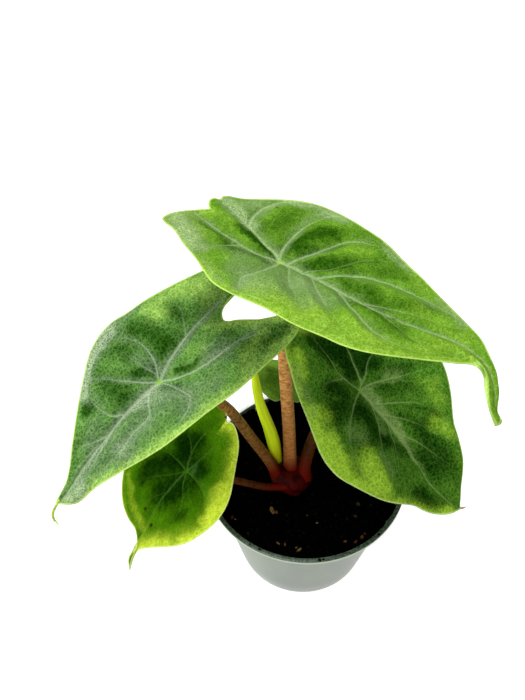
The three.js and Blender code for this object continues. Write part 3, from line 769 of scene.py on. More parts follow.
def blade(name, leaf):
    """Rings of the outline drawn in towards its spine, on a top and an under skin. The top puffs up
    between the veins, dips along them, waves at the margin and has a fine quilt of noise, and the
    underside has a ridge below each vein. Its marks for the material are the place on the flat leaf, the
    shares of lime, silver and dark, the way to the margin, and for each face its nearest vein's line, so
    that a vein stays sharp where another one is near."""
    outline = margin(leaf)
    middle_line = spine(leaf, outline)
    turn = 2 * np.pi * leaf["wave"][1] * np.linspace(0, 2, SPOKES, endpoint=False) + leaf["wave"][2]
    top_share = (np.arange(1, TOP_RINGS + 1) / TOP_RINGS) ** RING_CROWDING
    under_share = ((np.arange(UNDER_RINGS, 0, -1) - 0.4) / UNDER_RINGS) ** RING_CROWDING
    ring = np.concatenate([top_share, under_share])[:, None]
    below = np.concatenate([np.zeros(TOP_RINGS), np.ones(UNDER_RINGS)])[:, None] + np.zeros(SPOKES)
    places = middle_line + ring[..., None] * (outline - middle_line)
    u, v = places[..., 0], places[..., 1]
    share = ring + np.zeros(SPOKES)
    flat_u, flat_v = u.ravel(), v.ravel()

    near, across, half = [], [], []
    for width, points in leaf["veins"]:
        gap, side, run, past = line_gap(flat_u, flat_v, along(points, VEIN_POINTS))
        near.append(gap)
        across.append(side)
        half.append(0.5 * width * (1 - VEIN_TAPER * run) * np.clip(1 - past / VEIN_END, 0, 1))
    near, across, half = (np.stack(parts, 1) for parts in (near, across, half))
    gap = near.min(1).reshape(u.shape)

    def bell(strength, distance, width):
        """The strongest vein's bell at each place, from each vein's strength, distance and width."""
        return (strength * np.exp(-((distance / width) ** 2))).max(1).reshape(u.shape)

    ragged = near * (1 + 0.5 * lattice_noise(flat_u / 1.2, flat_v / 1.2, 41))[:, None]
    # A rib's ridge, the silver haze round it, partly painted sheen, and the dark fold beyond that, a painted
    # shade of the crease beside the rib, all wider along a wide vein.
    ridge = bell(np.minimum(half, RIDGE_LIMIT), near, RIB_WIDTH + half)
    haze = bell(half, ragged, HAZE_WIDTH + HAZE_GROWTH * half)
    fold = bell(np.maximum(half - THIN_VEIN, 0), near - FOLD_SHADE_GAP - 2 * half, FOLD_SHADE_WIDTH)
    rim = np.vstack([outline, outline[:1]])
    edge = np.stack([line_gap(row[:, 0], row[:, 1], rim)[0] for row in places])

    puff = leaf["puff"] * (1 - np.exp(-((gap / PUFF_WIDTH) ** 2))) * (1 - share**4) * smooth(0, 0.3, share)
    wave = leaf["wave"][0] * share**3 * np.sin(turn)
    quilt = 0.16 * lattice_noise(u / 2.3, v / 2.3, 11) + 0.3 * lattice_noise(u / 6, v / 6, 12)
    lift = puff + wave + quilt * smooth(0.2, 3, edge) - GROOVE * ridge
    middle = blade_point(leaf, u, v, lift)
    step = 0.5
    flat = np.zeros_like(u)
    run = blade_point(leaf, u + step, v, flat) - blade_point(leaf, u - step, v, flat)
    rise = blade_point(leaf, u, v + step, flat) - blade_point(leaf, u, v - step, flat)
    normal = np.cross(rise, run)
    normal /= np.linalg.norm(normal, axis=-1)[..., None]
    thick = HALF_THICKNESS * (1 - MARGIN_THINNING * share**6)
    side = np.where(below > 0, -thick - RIB_DEPTH * ridge * (1 - share**3), thick)
    points = middle + side[..., None] * normal
    piece = closed_surface(name, points, leaf_paint(name + "_skin", leaf))

    free_u, free_v = warped(*warped(u, v, 1.0, 5, 31), 0.6, 1.5, 35)
    rim_width = np.where(v > 0, leaf["rim"][0], leaf["rim"][2])
    rim_share = np.where(v > 0, leaf["rim"][1], leaf["rim"][3])
    rough_edge = edge + 0.3 * rim_width * lattice_noise(u / 5, v / 5, 33)
    glow = rim_share * np.exp(-(np.maximum(rough_edge, 0) / rim_width) ** 1.6)
    # The lime margin and the silver haze fade where the blade runs out into its drip tip.
    past_blade = smooth(leaf["length"] - TIP_FADE_START, leaf["length"] + TIP_FADE_END, u)
    glow = glow * (1 - 0.85 * past_blade)
    lime = np.maximum(glow, strokes(free_u, free_v, leaf["limes"]))
    haze = HAZE_SHARE * haze * (1 - 0.8 * past_blade)
    # silver: the leaf's silvering round its veins and in fields, partly painted sheen.
    silver = np.maximum(haze, strokes(free_u, free_v, leaf["silvers"]))
    # dark: the fold's painted shade beside the ribs, and the darks strokes, deep green that is partly the
    # leaf's own colour and partly painted shadow of creases and of the leaves above.
    dark = np.maximum(FOLD_SHADE_SHARE * fold, strokes(free_u, free_v, leaf["darks"]))
    spot = sum(np.exp(-((((u - a) ** 2 + (v - b) ** 2) / r**2) ** 2)) for a, b, r in leaf["spots"])
    mark(piece, "leaf_place", np.stack([u, v, 0 * u], -1).reshape(-1, 3))
    mark(piece, "leaf_tone", np.stack([lime, silver, dark], -1).reshape(-1, 3))
    mark(piece, "edge_gap", edge.ravel())
    mark(piece, "under_side", below.ravel())
    mark(piece, "brown_spot", (spot + 0 * u).ravel())

    corner = np.empty(len(piece.data.loops), np.int32)
    piece.data.loops.foreach_get("vertex_index", corner)
    starts = np.empty(len(piece.data.polygons), np.int32)
    piece.data.polygons.foreach_get("loop_start", starts)
    face = np.repeat(np.arange(len(starts)), np.diff(np.append(starts, len(corner))))
    nearest = np.add.reduceat(near[corner], starts, axis=0).argmin(1)[face]
    line = np.stack([across[corner, nearest], half[corner, nearest], 0 * corner], -1)
    mark(piece, "vein_line", line, "CORNER")
    return piece


def leaf_tones(codes):
    """The ten tones of a leaf's skin by name, from its two clouds of green to the navel and the rim."""
    names = "mid fresh deep lime bright pale haze vein navel_tone rim_tone"
    return dict(zip(names.split(), codes.split()))


# Each leaf is drawn flat, in millimetres, with its navel at (0, 0) and its drip tip along the first
# direction. heading, dip and roll turn it at its navel, in degrees. droop, tip_bend and back bend the
# midrib over its length, tip and lobe_reach, and fold and curl bend the sides. wave is the height, count a
# side and phase of the margin's waves, and rim the lime margin's reach and strength, right and then left.
# limes, darks and silvers are strokes (radius, strength, points): the darks are deep green, partly the
# leaf's own colour and partly painted shade, and the silvers partly painted sheen. spots end with their
# radius, and veins are (width, points). The tones stand in the order that leaf_tones gives. cell, net,
# silver and line say how strongly the cells' hearts, the net, the silver and the veins show, and pitch is
# the net's scale.
LEAVES = {}

# The largest and highest leaf: mid green, with silver along its veins and lime down its right side.
LEAVES["top_leaf"] = {
    **leaf_tones("4e7a16 60901e 1c4402 769e28 b4d46a 80a450 698450 a4bc88 9bc838 b8d86c"),
    "cell": 0.35,
    "pitch": 1.0,
    "net": 0.35,
    "silver": 0.85,
    "line": 0.58,
    "rim": (4, 0.9, 2, 0.3),
    "puff": 2.4,
    "navel": (-12.8, 19.1, 174),
    "heading": -41,
    "dip": -9,
    "roll": -17,
    "length": 85.3,
    "tip": 20.6,
    "droop": 3.7,
    "tip_bend": 73,
    "back": -27,
    "lobe_reach": 40.9,
    "fold": -7,
    "curl": (12.3, -22.3),
    "wave": (0.5, 4, 0.4),
    "outline": {
        "right": [(105.6, 10.2), (103.4, 11.5), (99.2, 12.1), (94.6, 9.1), (91.2, 4.5), (88.3, 2.1)]
        + [(85.2, 1.8), (81.3, 7.4), (72.4, 17.5), (61.6, 25.7), (53, 28.8), (44.5, 29.8), (33, 32.2)]
        + [(20.9, 32.4), (7.5, 33.2), (-4.1, 31.9), (-17.1, 27), (-26.8, 25.5), (-33.5, 23.8)]
        + [(-40, 24), (-41.4, 19.1), (-40.9, 13), (-39.2, 6), (-37.6, 0.6)],
        "left": [(105.6, 10.2), (102.2, 7.6), (98, 2.1), (93.3, -2), (87.7, -5.3), (81, -10.1), (74.8, -12.9)]
        + [(64.9, -17.2), (54.8, -21.2), (47, -23.9), (36.3, -27), (26, -30.8), (15.4, -33.4)]
        + [(0.5, -35.4), (-9.6, -34.2), (-18.6, -30.4), (-25.3, -25.8), (-31.1, -20.3), (-35.5, -15.1)]
        + [(-39.2, -11), (-40, -8.6), (-39.4, -6.6), (-41, -4.6), (-41, -2.4), (-39.6, -0.6)]
        + [(-37.6, 0.6)],
    },
    "limes": [
        (4.5, 0.68, [(10, 29), (16, 27), (25, 28), (32, 27)]),
        (6.9, 0.77, [(34, 24), (40, 22), (48, 20), (55, 22)]),
        (3.8, 0.59, [(10, 24), (14, 22)]),
        (4.5, 0.45, [(57, 19), (66, 16), (73, 10)]),
        (4.5, 0.51, [(70, 6), (76, 1), (80, -1)]),
        (6.9, 0.7, [(-39, 20), (-35, 18), (-30, 19)]),
        (3.8, 0.34, [(47, -22), (62, -17), (77, -11)]),
        (3.1, 0.3, [(-26, -2), (-32, -2)]),
        (3.8, 0.34, [(-28, 20), (-20, 22)]),
        (5, 0.3, [(18, -20), (23, -23)]),
        (3.5, 0.4, [(56, -8), (66, -6), (77, -4)]),
        (4, 0.35, [(90, 1), (97, 5), (104, 10)]),
        (4, 0.6, [(24, 22), (30, 20)]),
    ],
    "darks": [
        (2.2, 1.2, [(-24, -3), (-17, -2), (-10, -1), (-3, 0)]),
        (7, 0.45, [(-16, -10), (-14, -16), (-14, -21)]),
        (4, 0.85, [(-2, -7), (0, -14), (2, -20), (6, -24)]),
        (3.2, 0.8, [(10, -3), (15, -8), (21, -13)]),
        (3.6, 0.55, [(25, -4), (30, -4), (40, -5)]),
        (3.5, 0.45, [(42, 0), (50, -6), (59, -10)]),
        (3.4, 0.5, [(34, 3), (42, 4), (51, 5), (58, 5)]),
        (3, 0.3, [(50, 11), (59, 11), (67, 9)]),
        (2.6, 0.9, [(0, 5), (-6, 9), (-12, 12), (-15, 13)]),
        (4.5, 0.25, [(-10, 24), (-5, 23)]),
        (5.5, 0.35, [(16, -30), (26, -28), (37, -24)]),
        (2.6, 0.5, [(-31, 11), (-24, 10), (-18, 9)]),
        (3, 0.6, [(4, -9), (8, -14), (12, -19)]),
        (2.4, 0.4, [(26, -12), (34, -17), (42, -19)]),
        (3, 0.4, [(22, -17), (28, -20)]),
    ],
    "silvers": [
        (2.8, 1.6, [(-36, -8), (-29, -8), (-22, -7)]),
        (1.4, 0.8, [(-22, -7), (-11, -5), (-2, -2)]),
        (2.2, 0.7, [(-23, -8), (-25, -15), (-24, -22), (-19, -29)]),
        (2.2, 0.75, [(-3, -5), (-6, -14), (-7, -24), (-6, -29), (0, -33)]),
        (2.4, 0.4, [(4, -3), (8, -10), (10, -16), (14, -23), (20, -28)]),
        (2.4, 0.7, [(1, 0), (10, 0), (19, 0), (24, 0)]),
        (1.6, 0.7, [(24, 0), (33, 2), (42, 2)]),
        (2.6, 0.35, [(31, -8), (38, -12), (47, -14), (56, -14)]),
        (2.8, 0.4, [(57, -13), (66, -14), (73, -12)]),
        (8, 0.5, [(7, 14), (11, 22)]),
        (5.5, 0.6, [(10, 6), (20, 16), (26, 19)]),
        (3, 0.5, [(2, 5), (2, 14), (2, 23), (5, 28)]),
        (4, 0.5, [(16, 5), (24, 9), (34, 14)]),
        (2.2, 0.5, [(29, 3), (38, 9), (49, 13), (58, 16)]),
        (2.4, 0.85, [(-1, 4), (-10, 6), (-20, 6), (-28, 7), (-38, 8)]),
        (1.8, 0.6, [(-21, 22), (-20, 17), (-16, 14)]),
        (1.4, 0.5, [(-16, 24), (-8, 28), (-3, 30)]),
        (7, 0.4, [(6, 25), (8, 24)]),
        (2.8, 1.2, [(-22, -28), (-8, -33), (5, -34)]),
        (2, 0.9, [(26, -30), (34, -27), (42, -25)]),
        (1.8, 0.9, [(58, -19), (66, -16), (74, -13)]),
        (5, 1.7, [(-39, 17), (-33, 20), (-26, 22)]),
        (6, 0.6, [(-8, 14), (-2, 20)]),
        (5, 0.5, [(20, 10), (30, 12)]),
        (5, 0.4, [(-30, -14), (-26, -20)]),
        (3, 0.7, [(-39, -8), (-34, -12), (-30, -18)]),
        (2.2, 0.5, [(8, -12), (11, -13)]),
    ],
    "spots": [(-22.2, -21.9, 0.5)],
    "veins": [
        (2.0, [(0, 0), (28, 0), (52, 0), (66, -2.6), (76, -4), (84, -3.4), (92.3, 0.9), (100, 8)]),
        (1.7, [(0, 0), (-7, 2.6), (-17, 4.4), (-28, 6.2), (-38, 8)]),
        (1.6, [(0, 0), (-4, -2.6), (-11, -4.4), (-24, -7), (-37, -7.2)]),
        (1.2, [(-23, -7), (-25.5, -12), (-26, -19), (-22, -26.7), (-15, -31)]),
        (1.3, [(0, 0), (-3, -4), (-6, -13), (-6, -23), (-2, -32.4)]),
        (1.3, [(3, -0.5), (5, -7), (8.8, -17), (13.4, -25), (25, -28)]),
        (0.4, [(11, -0.2), (18, -8), (24, -18), (31, -22.6), (42, -24)]),
        (1.2, [(17, -0.3), (24, -8), (34, -13.3), (48, -15.5), (67, -14.3)]),
        (0.5, [(38, 0), (48, -3), (60, -7), (72, -9.5)]),
        (1.4, [(0, 0), (1.8, 6.5), (1.5, 14), (1, 22), (6, 29)]),
        (0.5, [(3, 0), (7.2, 3.2), (11, 8), (17, 14), (30, 22)]),
        (0.6, [(15, 0), (19.4, 4), (25, 8.7), (36, 16), (46, 21)]),
        (0.9, [(27, 0), (33.6, 4.3), (43.7, 9.9), (54, 14.5), (64, 14.6), (74, 10)]),
        (0.4, [(45, 0), (54, 4), (66, 7), (78, 4)]),
        (0.5, [(-15, 4.4), (-17, 8), (-19.5, 14), (-20, 20), (-15, 26)]),
    ],
}

# The left leaf: darker, with a small net, silver fields and a lime left margin.
LEAVES["left_leaf"] = {
    **leaf_tones("3e6626 4c7a32 163a04 82a64a a6c868 7f9f5c 50664a a6b49a 86b82e b3cf6a"),
    "cell": 0.5,
    "pitch": 0.7,
    "net": 0.45,
    "silver": 0.85,
    "line": 0.6,
    "rim": (2, 0.2, 4, 0.9),
    "puff": 1.9,
    "navel": (-59.2, -4.8, 132),
    "heading": 222,
    "dip": 16,
    "roll": 1,
    "length": 63.4,
    "tip": 11.4,
    "droop": 31.6,
    "tip_bend": 55,
    "back": -3,
    "lobe_reach": 58.1,
    "fold": -8,
    "curl": (8, 3.6),
    "wave": (0.4, 5, 2.1),
    "outline": {
        "right": [(63.5, 1.2), (62.3, 2), (58.3, 2.4), (53.1, 3.3), (47.4, 5.8), (42.3, 8.8), (37.4, 11.8)]
        + [(31.2, 16.5), (25, 21.3), (18.4, 25.8), (12.3, 29.8), (7, 32.4), (1.8, 34.1), (-4.4, 34.7)]
        + [(-10.7, 33.1), (-18.2, 31.6), (-25, 29.8), (-35.8, 26.6), (-44, 23.5), (-53, 19.5)]
        + [(-58.1, 15), (-54.5, 9), (-47.4, 5.2), (-43.2, 4.9), (-40.6, 4.4), (-37.2, 2.9)]
        + [(-35.4, 0.7), (-35.2, -0.4)],
        "left": [(63.5, 1.2), (62.1, -0.6), (58.8, -4.9), (55.4, -7.8), (46.6, -10.6), (38.2, -14.6)]
        + [(27.3, -19.5), (16.4, -23.4), (5.4, -25.8), (-5.9, -27.2), (-17.1, -28.7), (-29.4, -29.5)]
        + [(-37.5, -30.1), (-44, -29.9), (-50, -28.6), (-54.3, -25.5), (-53.6, -20.5), (-49.8, -16.9)]
        + [(-47.6, -14.7), (-44.4, -11.6), (-40.9, -6.8), (-38.4, -3.9), (-36, -1.9), (-35.2, -0.4)],
    },
    "limes": [
        (4.5, 0.7, [(-19, 26), (-19, 22)]),
        (4.5, 1.02, [(-36, 22), (-38, 18), (-41, 17)]),
        (3.5, 0.51, [(-26, 26), (-31, 24)]),
        (4.5, 0.3, [(-17, -2), (-21, -5)]),
        (3.5, 0.51, [(-30, 2), (-32, -2)]),
        (5, 0.2, [(-8, -20), (-15, -20), (-24, -25)]),
        (4.5, 0.15, [(6, -23), (16, -20)]),
        (2.2, 0.77, [(-40, -27), (-45, -28)]),
        (3.2, 0.42, [(-26, -26), (-33, -28)]),
        (4, 0.4, [(-36, 9), (-42, 9)]),
        (4, 0.4, [(-30, -21), (-42, -18)]),
    ],
    "darks": [
        (4, 0.6, [(-24, 18), (-25, 13)]),
        (5.5, 0.75, [(-12, 14), (-10, 20), (-8, 23)]),
        (3.6, 0.6, [(-14, 9), (-7, 7), (-2, 5)]),
        (5.5, 0.7, [(14, 6), (15, 12)]),
        (3.6, 0.3, [(8, 26), (13, 24), (13, 20)]),
        (2.6, 0.8, [(5, 8), (-1, 7)]),
        (3.6, 0.5, [(1, 18), (2, 24)]),
        (2.2, 0.9, [(26, 15), (28, 12)]),
        (3.2, 0.3, [(-33, -7), (-28, -7)]),
        (4.6, 0.6, [(-36, -20), (-42, -22), (-48, -24)]),
        (1.4, 0.9, [(-8, -2), (-13, -6), (-16, -6)]),
        (1.5, 0.8, [(1, -4), (-4, -8)]),
        (3.6, 0.3, [(-32, -19), (-26, -17)]),
        (2.6, 0.3, [(38, 9), (47, 4)]),
        (2.6, 0.5, [(29, -3), (36, -4)]),
        (1.7, 1.6, [(25.5, 14.6), (28, 13)]),
    ],
    "silvers": [
        (3.2, 1.6, [(0, 33), (9, 29), (16, 26), (23, 21)]),
        (2.8, 0.4, [(24, 18), (22, 10), (25, 8)]),
        (2.8, 0.6, [(-2, 30), (-4, 29)]),
        (1.8, 0.4, [(-4, 5), (-5, 14), (-4, 21), (-2, 25)]),
        (2.8, 0.6, [(0, 14), (-2, 8)]),
        (2.2, 0.9, [(-3, 2), (-10, 3), (-19, 5), (-28, 6), (-39, 7)]),
        (1.8, 0.8, [(-17, -9.5), (-24, -10), (-30, -12), (-40, -14)]),
        (5.5, 0.8, [(2, -8), (-3, -14), (0, -19)]),
        (3.6, 0.6, [(8, -2), (12, -2)]),
        (2.8, 0.95, [(2, -1), (10, -1), (20, 0), (26, 0), (34, -1), (42, -1), (50, -2)]),
        (3.6, 0.4, [(23, -11), (20, -10), (14, -11)]),
        (4, 1.3, [(51, -6), (56, -5)]),
        (3.6, 0.7, [(28, -10), (29, -14)]),
        (1.6, 0.6, [(2, 2), (9, 9), (13, 16), (17, 20)]),
        (3.6, 0.6, [(36, 4), (30, 6)]),
        (2.8, 0.5, [(-12, -22), (-16, -21)]),
        (3.6, 0.5, [(-20, -14), (-26, -15)]),
        (7, 0.6, [(8, -9), (25, -9), (40, -7)]),
        (3, 0.7, [(58, -2), (63, 0)]),
        (2.5, 0.8, [(-16, 31), (-8, 32.5), (2, 33), (12, 29), (24, 21)]),
        (5, 0.4, [(-6, -17), (-12, -17)]),
        (4, 0.6, [(-27, -8), (-21, -7)]),
    ],
    "spots": [(-39, 25.6, 0.5)],
    "veins": [
        (1.6, [(0, 0), (18, 0.4), (29, -0.1), (41, 0), (55, -0.5), (62, 0.8)]),
        (1.3, [(0, 0), (-7, 3.2), (-16.7, 5.5), (-26, 6.9), (-36, 7.2), (-46, 7.5)]),
        (0.9, [(0, 0), (-6, -5.2), (-16.6, -9.6), (-25, -10.9), (-36, -13), (-47, -17)]),
        (0.4, [(-33, -12.4), (-38, -16), (-43, -21), (-44, -26)]),
        (0.6, [(0, 0), (3.5, 3.2), (9.5, 11), (15.5, 19.4), (20, 23)]),
        (0.6, [(0, 0), (-4.5, 8), (-5.7, 16.8), (-3, 24.5), (5, 30)]),
        (0.4, [(-1.5, 2), (0, 9), (1.5, 18), (6, 24)]),
        (0.6, [(18, 0.4), (22, 4), (23.5, 12), (22.5, 19)]),
        (0.5, [(28, 0), (33, 2.3), (40, 6), (46, 5)]),
        (0.6, [(4, 0), (8.5, -3.5), (12, -8.8), (20, -9), (30, -9.8), (44, -8)]),
        (0.5, [(0, 0), (-2.5, -8), (-3.5, -16.2), (2, -20.2), (12, -20), (28, -15)]),
        (0.5, [(24, 0), (38, -2.6), (50, -4)]),
        (0.4, [(31, 0), (43, 1.9), (56, 1.2)]),
        (0.4, [(-20, 6.1), (-24, 12), (-27.5, 19), (-27, 27)]),
    ],
}

# The right leaf, steep below the top one: deep green, with lime down its right side. Its strongest
# darks, below the top leaf, are that leaf's shadow painted on it.
LEAVES["right_leaf"] = {
    **leaf_tones("306210 42721a 0a2e04 a2ce36 a8cc54 6a903c 6c8c4c 92ae68 7db526 cce68c"),
    "cell": 0.45,
    "pitch": 0.62,
    "net": 0.6,
    "silver": 0.9,
    "line": 0.75,
    "rim": (4, 0.6, 2, 0.15),
    "puff": 1.9,
    "navel": (22.2, 13.1, 102),
    "heading": -38,
    "dip": 37,
    "roll": -18.5,
    "length": 66.6,
    "tip": 5.5,
    "droop": 0.4,
    "tip_bend": -60,
    "back": -10,
    "lobe_reach": 43.4,
    "fold": -16,
    "curl": (27.8, -3.6),
    "wave": (0.4, 5, 1.2),
    "outline": {
        "right": [(69.5, -1.2), (68.6, 0.6), (65.8, 6), (62.1, 11.6), (56.2, 18.3), (51.3, 22.3)]
        + [(46, 25.2), (40, 30.6), (34.2, 35.4), (27.7, 39.4), (20, 43), (12, 45.6), (2.8, 45.5)]
        + [(-5.6, 43.1), (-14, 39.8), (-23.8, 35.7), (-32.1, 31.9), (-38.5, 29.6), (-43, 25), (-43.5, 18)]
        + [(-41, 11), (-38, 4), (-35, 0)],
        "left": [(69.5, -1.2), (68.6, -2.2), (66.2, -6.1), (63.2, -10.5), (56.8, -18.7), (48.2, -25.1)]
        + [(41.7, -29.1), (31, -37.4), (20.4, -43.8), (10, -46), (0, -43.5), (-18.5, -36.5)]
        + [(-31, -30), (-38, -23), (-40, -12), (-38, -4), (-35, 0)],
    },
    "limes": [
        (4.2, 0.65, [(-33, 25), (-28, 29)]),
        (4, 0.4, [(-8, 33), (-12, 33)]),
        (4.5, 1.0, [(1, 39), (9, 40)]),
        (5.8, 1.0, [(19, 30), (23, 31), (29, 32)]),
        (4.5, 0.25, [(23, -33), (23, -28), (31, -30)]),
        (4.5, 0.35, [(35, -20), (39, -22), (43, -23)]),
        (4.5, 0.08, [(53, -17), (60, -8), (60, -1)]),
        (3.2, 0.12, [(15, -24), (16, -27)]),
        (3.6, 0.1, [(36, 32), (42, 26)]),
        (3.2, 1.6, [(-14, 38), (-5, 42), (4, 44), (14, 44), (26, 39)]),
    ],
    "darks": [
        # This stroke is the top leaf's shadow, painted on this leaf.
        (4.2, 2.2, [(-26, -4), (-17, -5), (-9, -5)]),
        (3.6, 0.8, [(-33, 12), (-27, 11), (-21, 9)]),
        (4.5, 0.9, [(-8, -14), (-4, -15)]),
        (5, 0.5, [(6, -10), (10, -14), (14, -20)]),
        (6.5, 0.8, [(-12, 18), (-5, 20), (-6, 28)]),
        (5, 0.7, [(5, 14), (10, 15)]),
        (6, 0.7, [(41, -4), (49, -5)]),
        (3.6, 0.5, [(4, -19), (8, -27)]),
        (3.6, 0.4, [(20, -8), (29, -13), (34, -23)]),
        (3.6, 0.5, [(14, 14), (25, 9), (33, 7)]),
        (3.6, 0.7, [(45, 17), (52, 16)]),
        (3.6, 0.5, [(11, 28), (14, 22)]),
        (1.4, 0.5, [(22, -14), (27, -20), (33, -24)]),
        (4.5, 0.6, [(33, -11), (46, -14)]),
        # These two strokes are the top leaf's shadow too, painted on this leaf.
        (4, 1.2, [(-24, -12), (-16, -14), (-8, -12)]),
        (4, 1, [(-34, 4), (-22, 2), (-10, 0)]),
        (5, 0.35, [(46, 25), (54, 16), (62, 7)]),
        (7, 0.4, [(0, 8), (12, 10), (18, 13)]),
        (4, 0.4, [(52, -14), (60, -8)]),
    ],
    "silvers": [
        (2.8, 1.5, [(3, -2), (12, -2), (21, -2), (28, -1)]),
        (1.8, 0.5, [(28, -1), (36, 0), (44, 1)]),
        (4.6, 0.5, [(5, 26), (9, 25)]),
        (3.6, 0.4, [(23, 20), (29, 22)]),
        (2.8, 0.4, [(4, -16), (8, -22)]),
        (1.4, 0.3, [(2, -4), (5, -13), (10, -21)]),
        (1.8, 0.5, [(14, 2), (18, 9)]),
        (3, 0.45, [(-30, 29), (-22, 33), (-13, 37)]),
        (2.5, 1.4, [(24, 0), (30, 2), (36, 4)]),
    ],
    "spots": [(70.2, -1.6, 1.0)],
    "veins": [
        (2.2, [(0, 0), (17, -0.9), (31, -1.4), (40, 1.2), (49, 4.6), (58, 3.5), (67, 0)]),
        (0.8, [(0, 0), (-3, 2.3), (-8, 4.3), (-13, 6.5), (-24, 5.8), (-36, 7)]),
        (0.8, [(0, 0), (-2, -3), (-6, -4.3), (-14.5, -7.2), (-26, -9)]),
        (0.6, [(-1, -1.6), (-3, -7), (-6, -12), (-7, -17), (-6, -25)]),
        (0.6, [(0, 0), (1, -5.5), (3.6, -11), (10.5, -24), (17, -36.5)]),
        (0.6, [(8, -0.4), (11, -4.6), (15.4, -10.4), (24.6, -20.6), (33.5, -23.6)]),
        (0.5, [(14, -0.8), (17.6, -4), (28, -11.6), (38.4, -17)]),
        (0.6, [(24, -1.2), (31, -4.8), (42, -8.8), (52, -12)]),
        (0.6, [(0, 0), (-0.5, 6.4), (0.8, 15.5), (5.8, 28), (16, 34.7), (28, 35.5)]),
        (0.6, [(6, -0.3), (9.8, 2.6), (14.8, 7.7), (21, 17), (29.3, 23.4), (42, 26)]),
        (0.5, [(17, -0.9), (25.8, 8.4), (33, 17), (42, 20)]),
        (0.5, [(-10, 5.3), (-11.4, 9), (-14, 14.2), (-16, 20), (-16, 28)]),
    ],
}

# The lowest leaf, in the left leaf's shade: dark and smooth, its dark middle partly painted shadow of
# the left leaf, with a wide lime left margin.
LEAVES["low_leaf"] = {
    **leaf_tones("346204 427004 0a2802 bcd034 d0e060 4a7418 4a7040 4c7a1c 3f7a14 c9d87a"),
    "cell": 0.2,
    "pitch": 0.8,
    "net": 0.2,
    "silver": 0.4,
    "line": 0.45,
    "rim": (3, 0.25, 5.5, 0.62),
    "puff": 1.2,
    "navel": (-51.3, -13.4, 81),
    "heading": 223,
    "dip": 18.5,
    "roll": 17,
    "length": 41.9,
    "tip": 9.5,
    "droop": 33.4,
    "tip_bend": 22,
    "back": -19,
    "lobe_reach": 28.8,
    "fold": -7,
    "curl": (10.9, 11.8),
    "wave": (0.3, 4, 0),
    "outline": {
        "right": [(51, 0), (46.6, 1.4), (42.3, 0.8), (38.9, -0.8), (36.3, 1), (33.3, 4.6), (32.2, 9.4)]
        + [(29.4, 15.8), (24.9, 22.2), (18.2, 28.2), (9, 31.8), (-2, 31), (-14.4, 26), (-26, 19)]
        + [(-32.3, 11), (-32, 5.2), (-30.1, 2), (-28, 0), (-27, -1.2)],
        "left": [(51, 0), (46.6, -0.6), (41.1, -1.6), (38.6, -3.2), (36.3, -6), (32, -11.8)]
        + [(25, -21.8), (19.2, -27.6), (12.2, -31), (4.6, -31.9), (-4.3, -28.9), (-10.8, -24.6)]
        + [(-17.5, -19.4), (-22.9, -15.1), (-26, -11.3), (-27.8, -8), (-28.4, -4.4), (-27, -1.2)],
    },
    "limes": [
        (2.2, 0.25, [(18, 23), (22, 17), (26, 10)]),
        (3, 0.3, [(28, 6), (30, 0)]),
        (3.6, 0.25, [(0, -21), (3, -25)]),
        (4.2, 0.9, [(-6, -25), (1, -29), (8, -29)]),
    ],
    "darks": [
        (6, 0.7, [(-10, 12), (-2, 8), (6, 13)]),
        (4, 0.6, [(-5, -3), (-4, -8)]),
        (6, 0.6, [(8, -4), (6, -9)]),
        (3.6, 0.5, [(10, 17), (16, 14)]),
        (3.6, 0.5, [(-13, 5), (-9, 6)]),
        (4.6, 0.5, [(14, -4), (15, 2)]),
        (3.6, 0.25, [(-12, -7), (-6, -11)]),
        (3, 0.5, [(13, -17), (16, -14)]),
        (9, 0.4, [(-8, 4), (2, 0), (10, 4)]),
    ],
    "silvers": [
        (1.6, 0.6, [(-4, -2), (-2, -4)]),
        (1.2, 0.2, [(0, -3), (0, -12), (1, -20)]),
    ],
    "spots": [(22.9, 3.9, 0.8), (26.2, -4, 0.9), (-28.4, 1.0, 0.7)],
    "veins": [
        (0.9, [(0, 0), (12, 0.2), (24, 0.3), (32, -0.4), (38.6, -1.7), (44, 0.1), (49, 0.2)]),
        (0.9, [(0, 0), (-3, 2.3), (-8, 4.9), (-14.3, 5.7), (-20.5, 4.1), (-26, 2.4)]),
        (0.8, [(0, 0), (-3.5, -1.1), (-9, -2.2), (-20, -4.2), (-25, -6)]),
        (0.5, [(-6, 4), (-10, 8.2), (-12, 13), (-10, 21)]),
        (0.6, [(0, 0), (-0.7, 6.5), (-0.2, 15), (3, 23)]),
        (0.5, [(0, 0), (5.4, 4.4), (10, 10), (14.3, 14.6), (21, 18)]),
        (0.6, [(0, 0), (4.4, -4.1), (9.3, -9.8), (14.2, -12.9), (23, -15)]),
        (0.6, [(0, 0), (-0.1, -6), (0.7, -12), (2.5, -18.3), (7, -25)]),
        (0.4, [(12, 0.2), (17, 4), (23, 7.5), (30, 6)]),
        (0.4, [(14, 0.2), (19, -4), (26, -7), (32, -5.5)]),
    ],
}

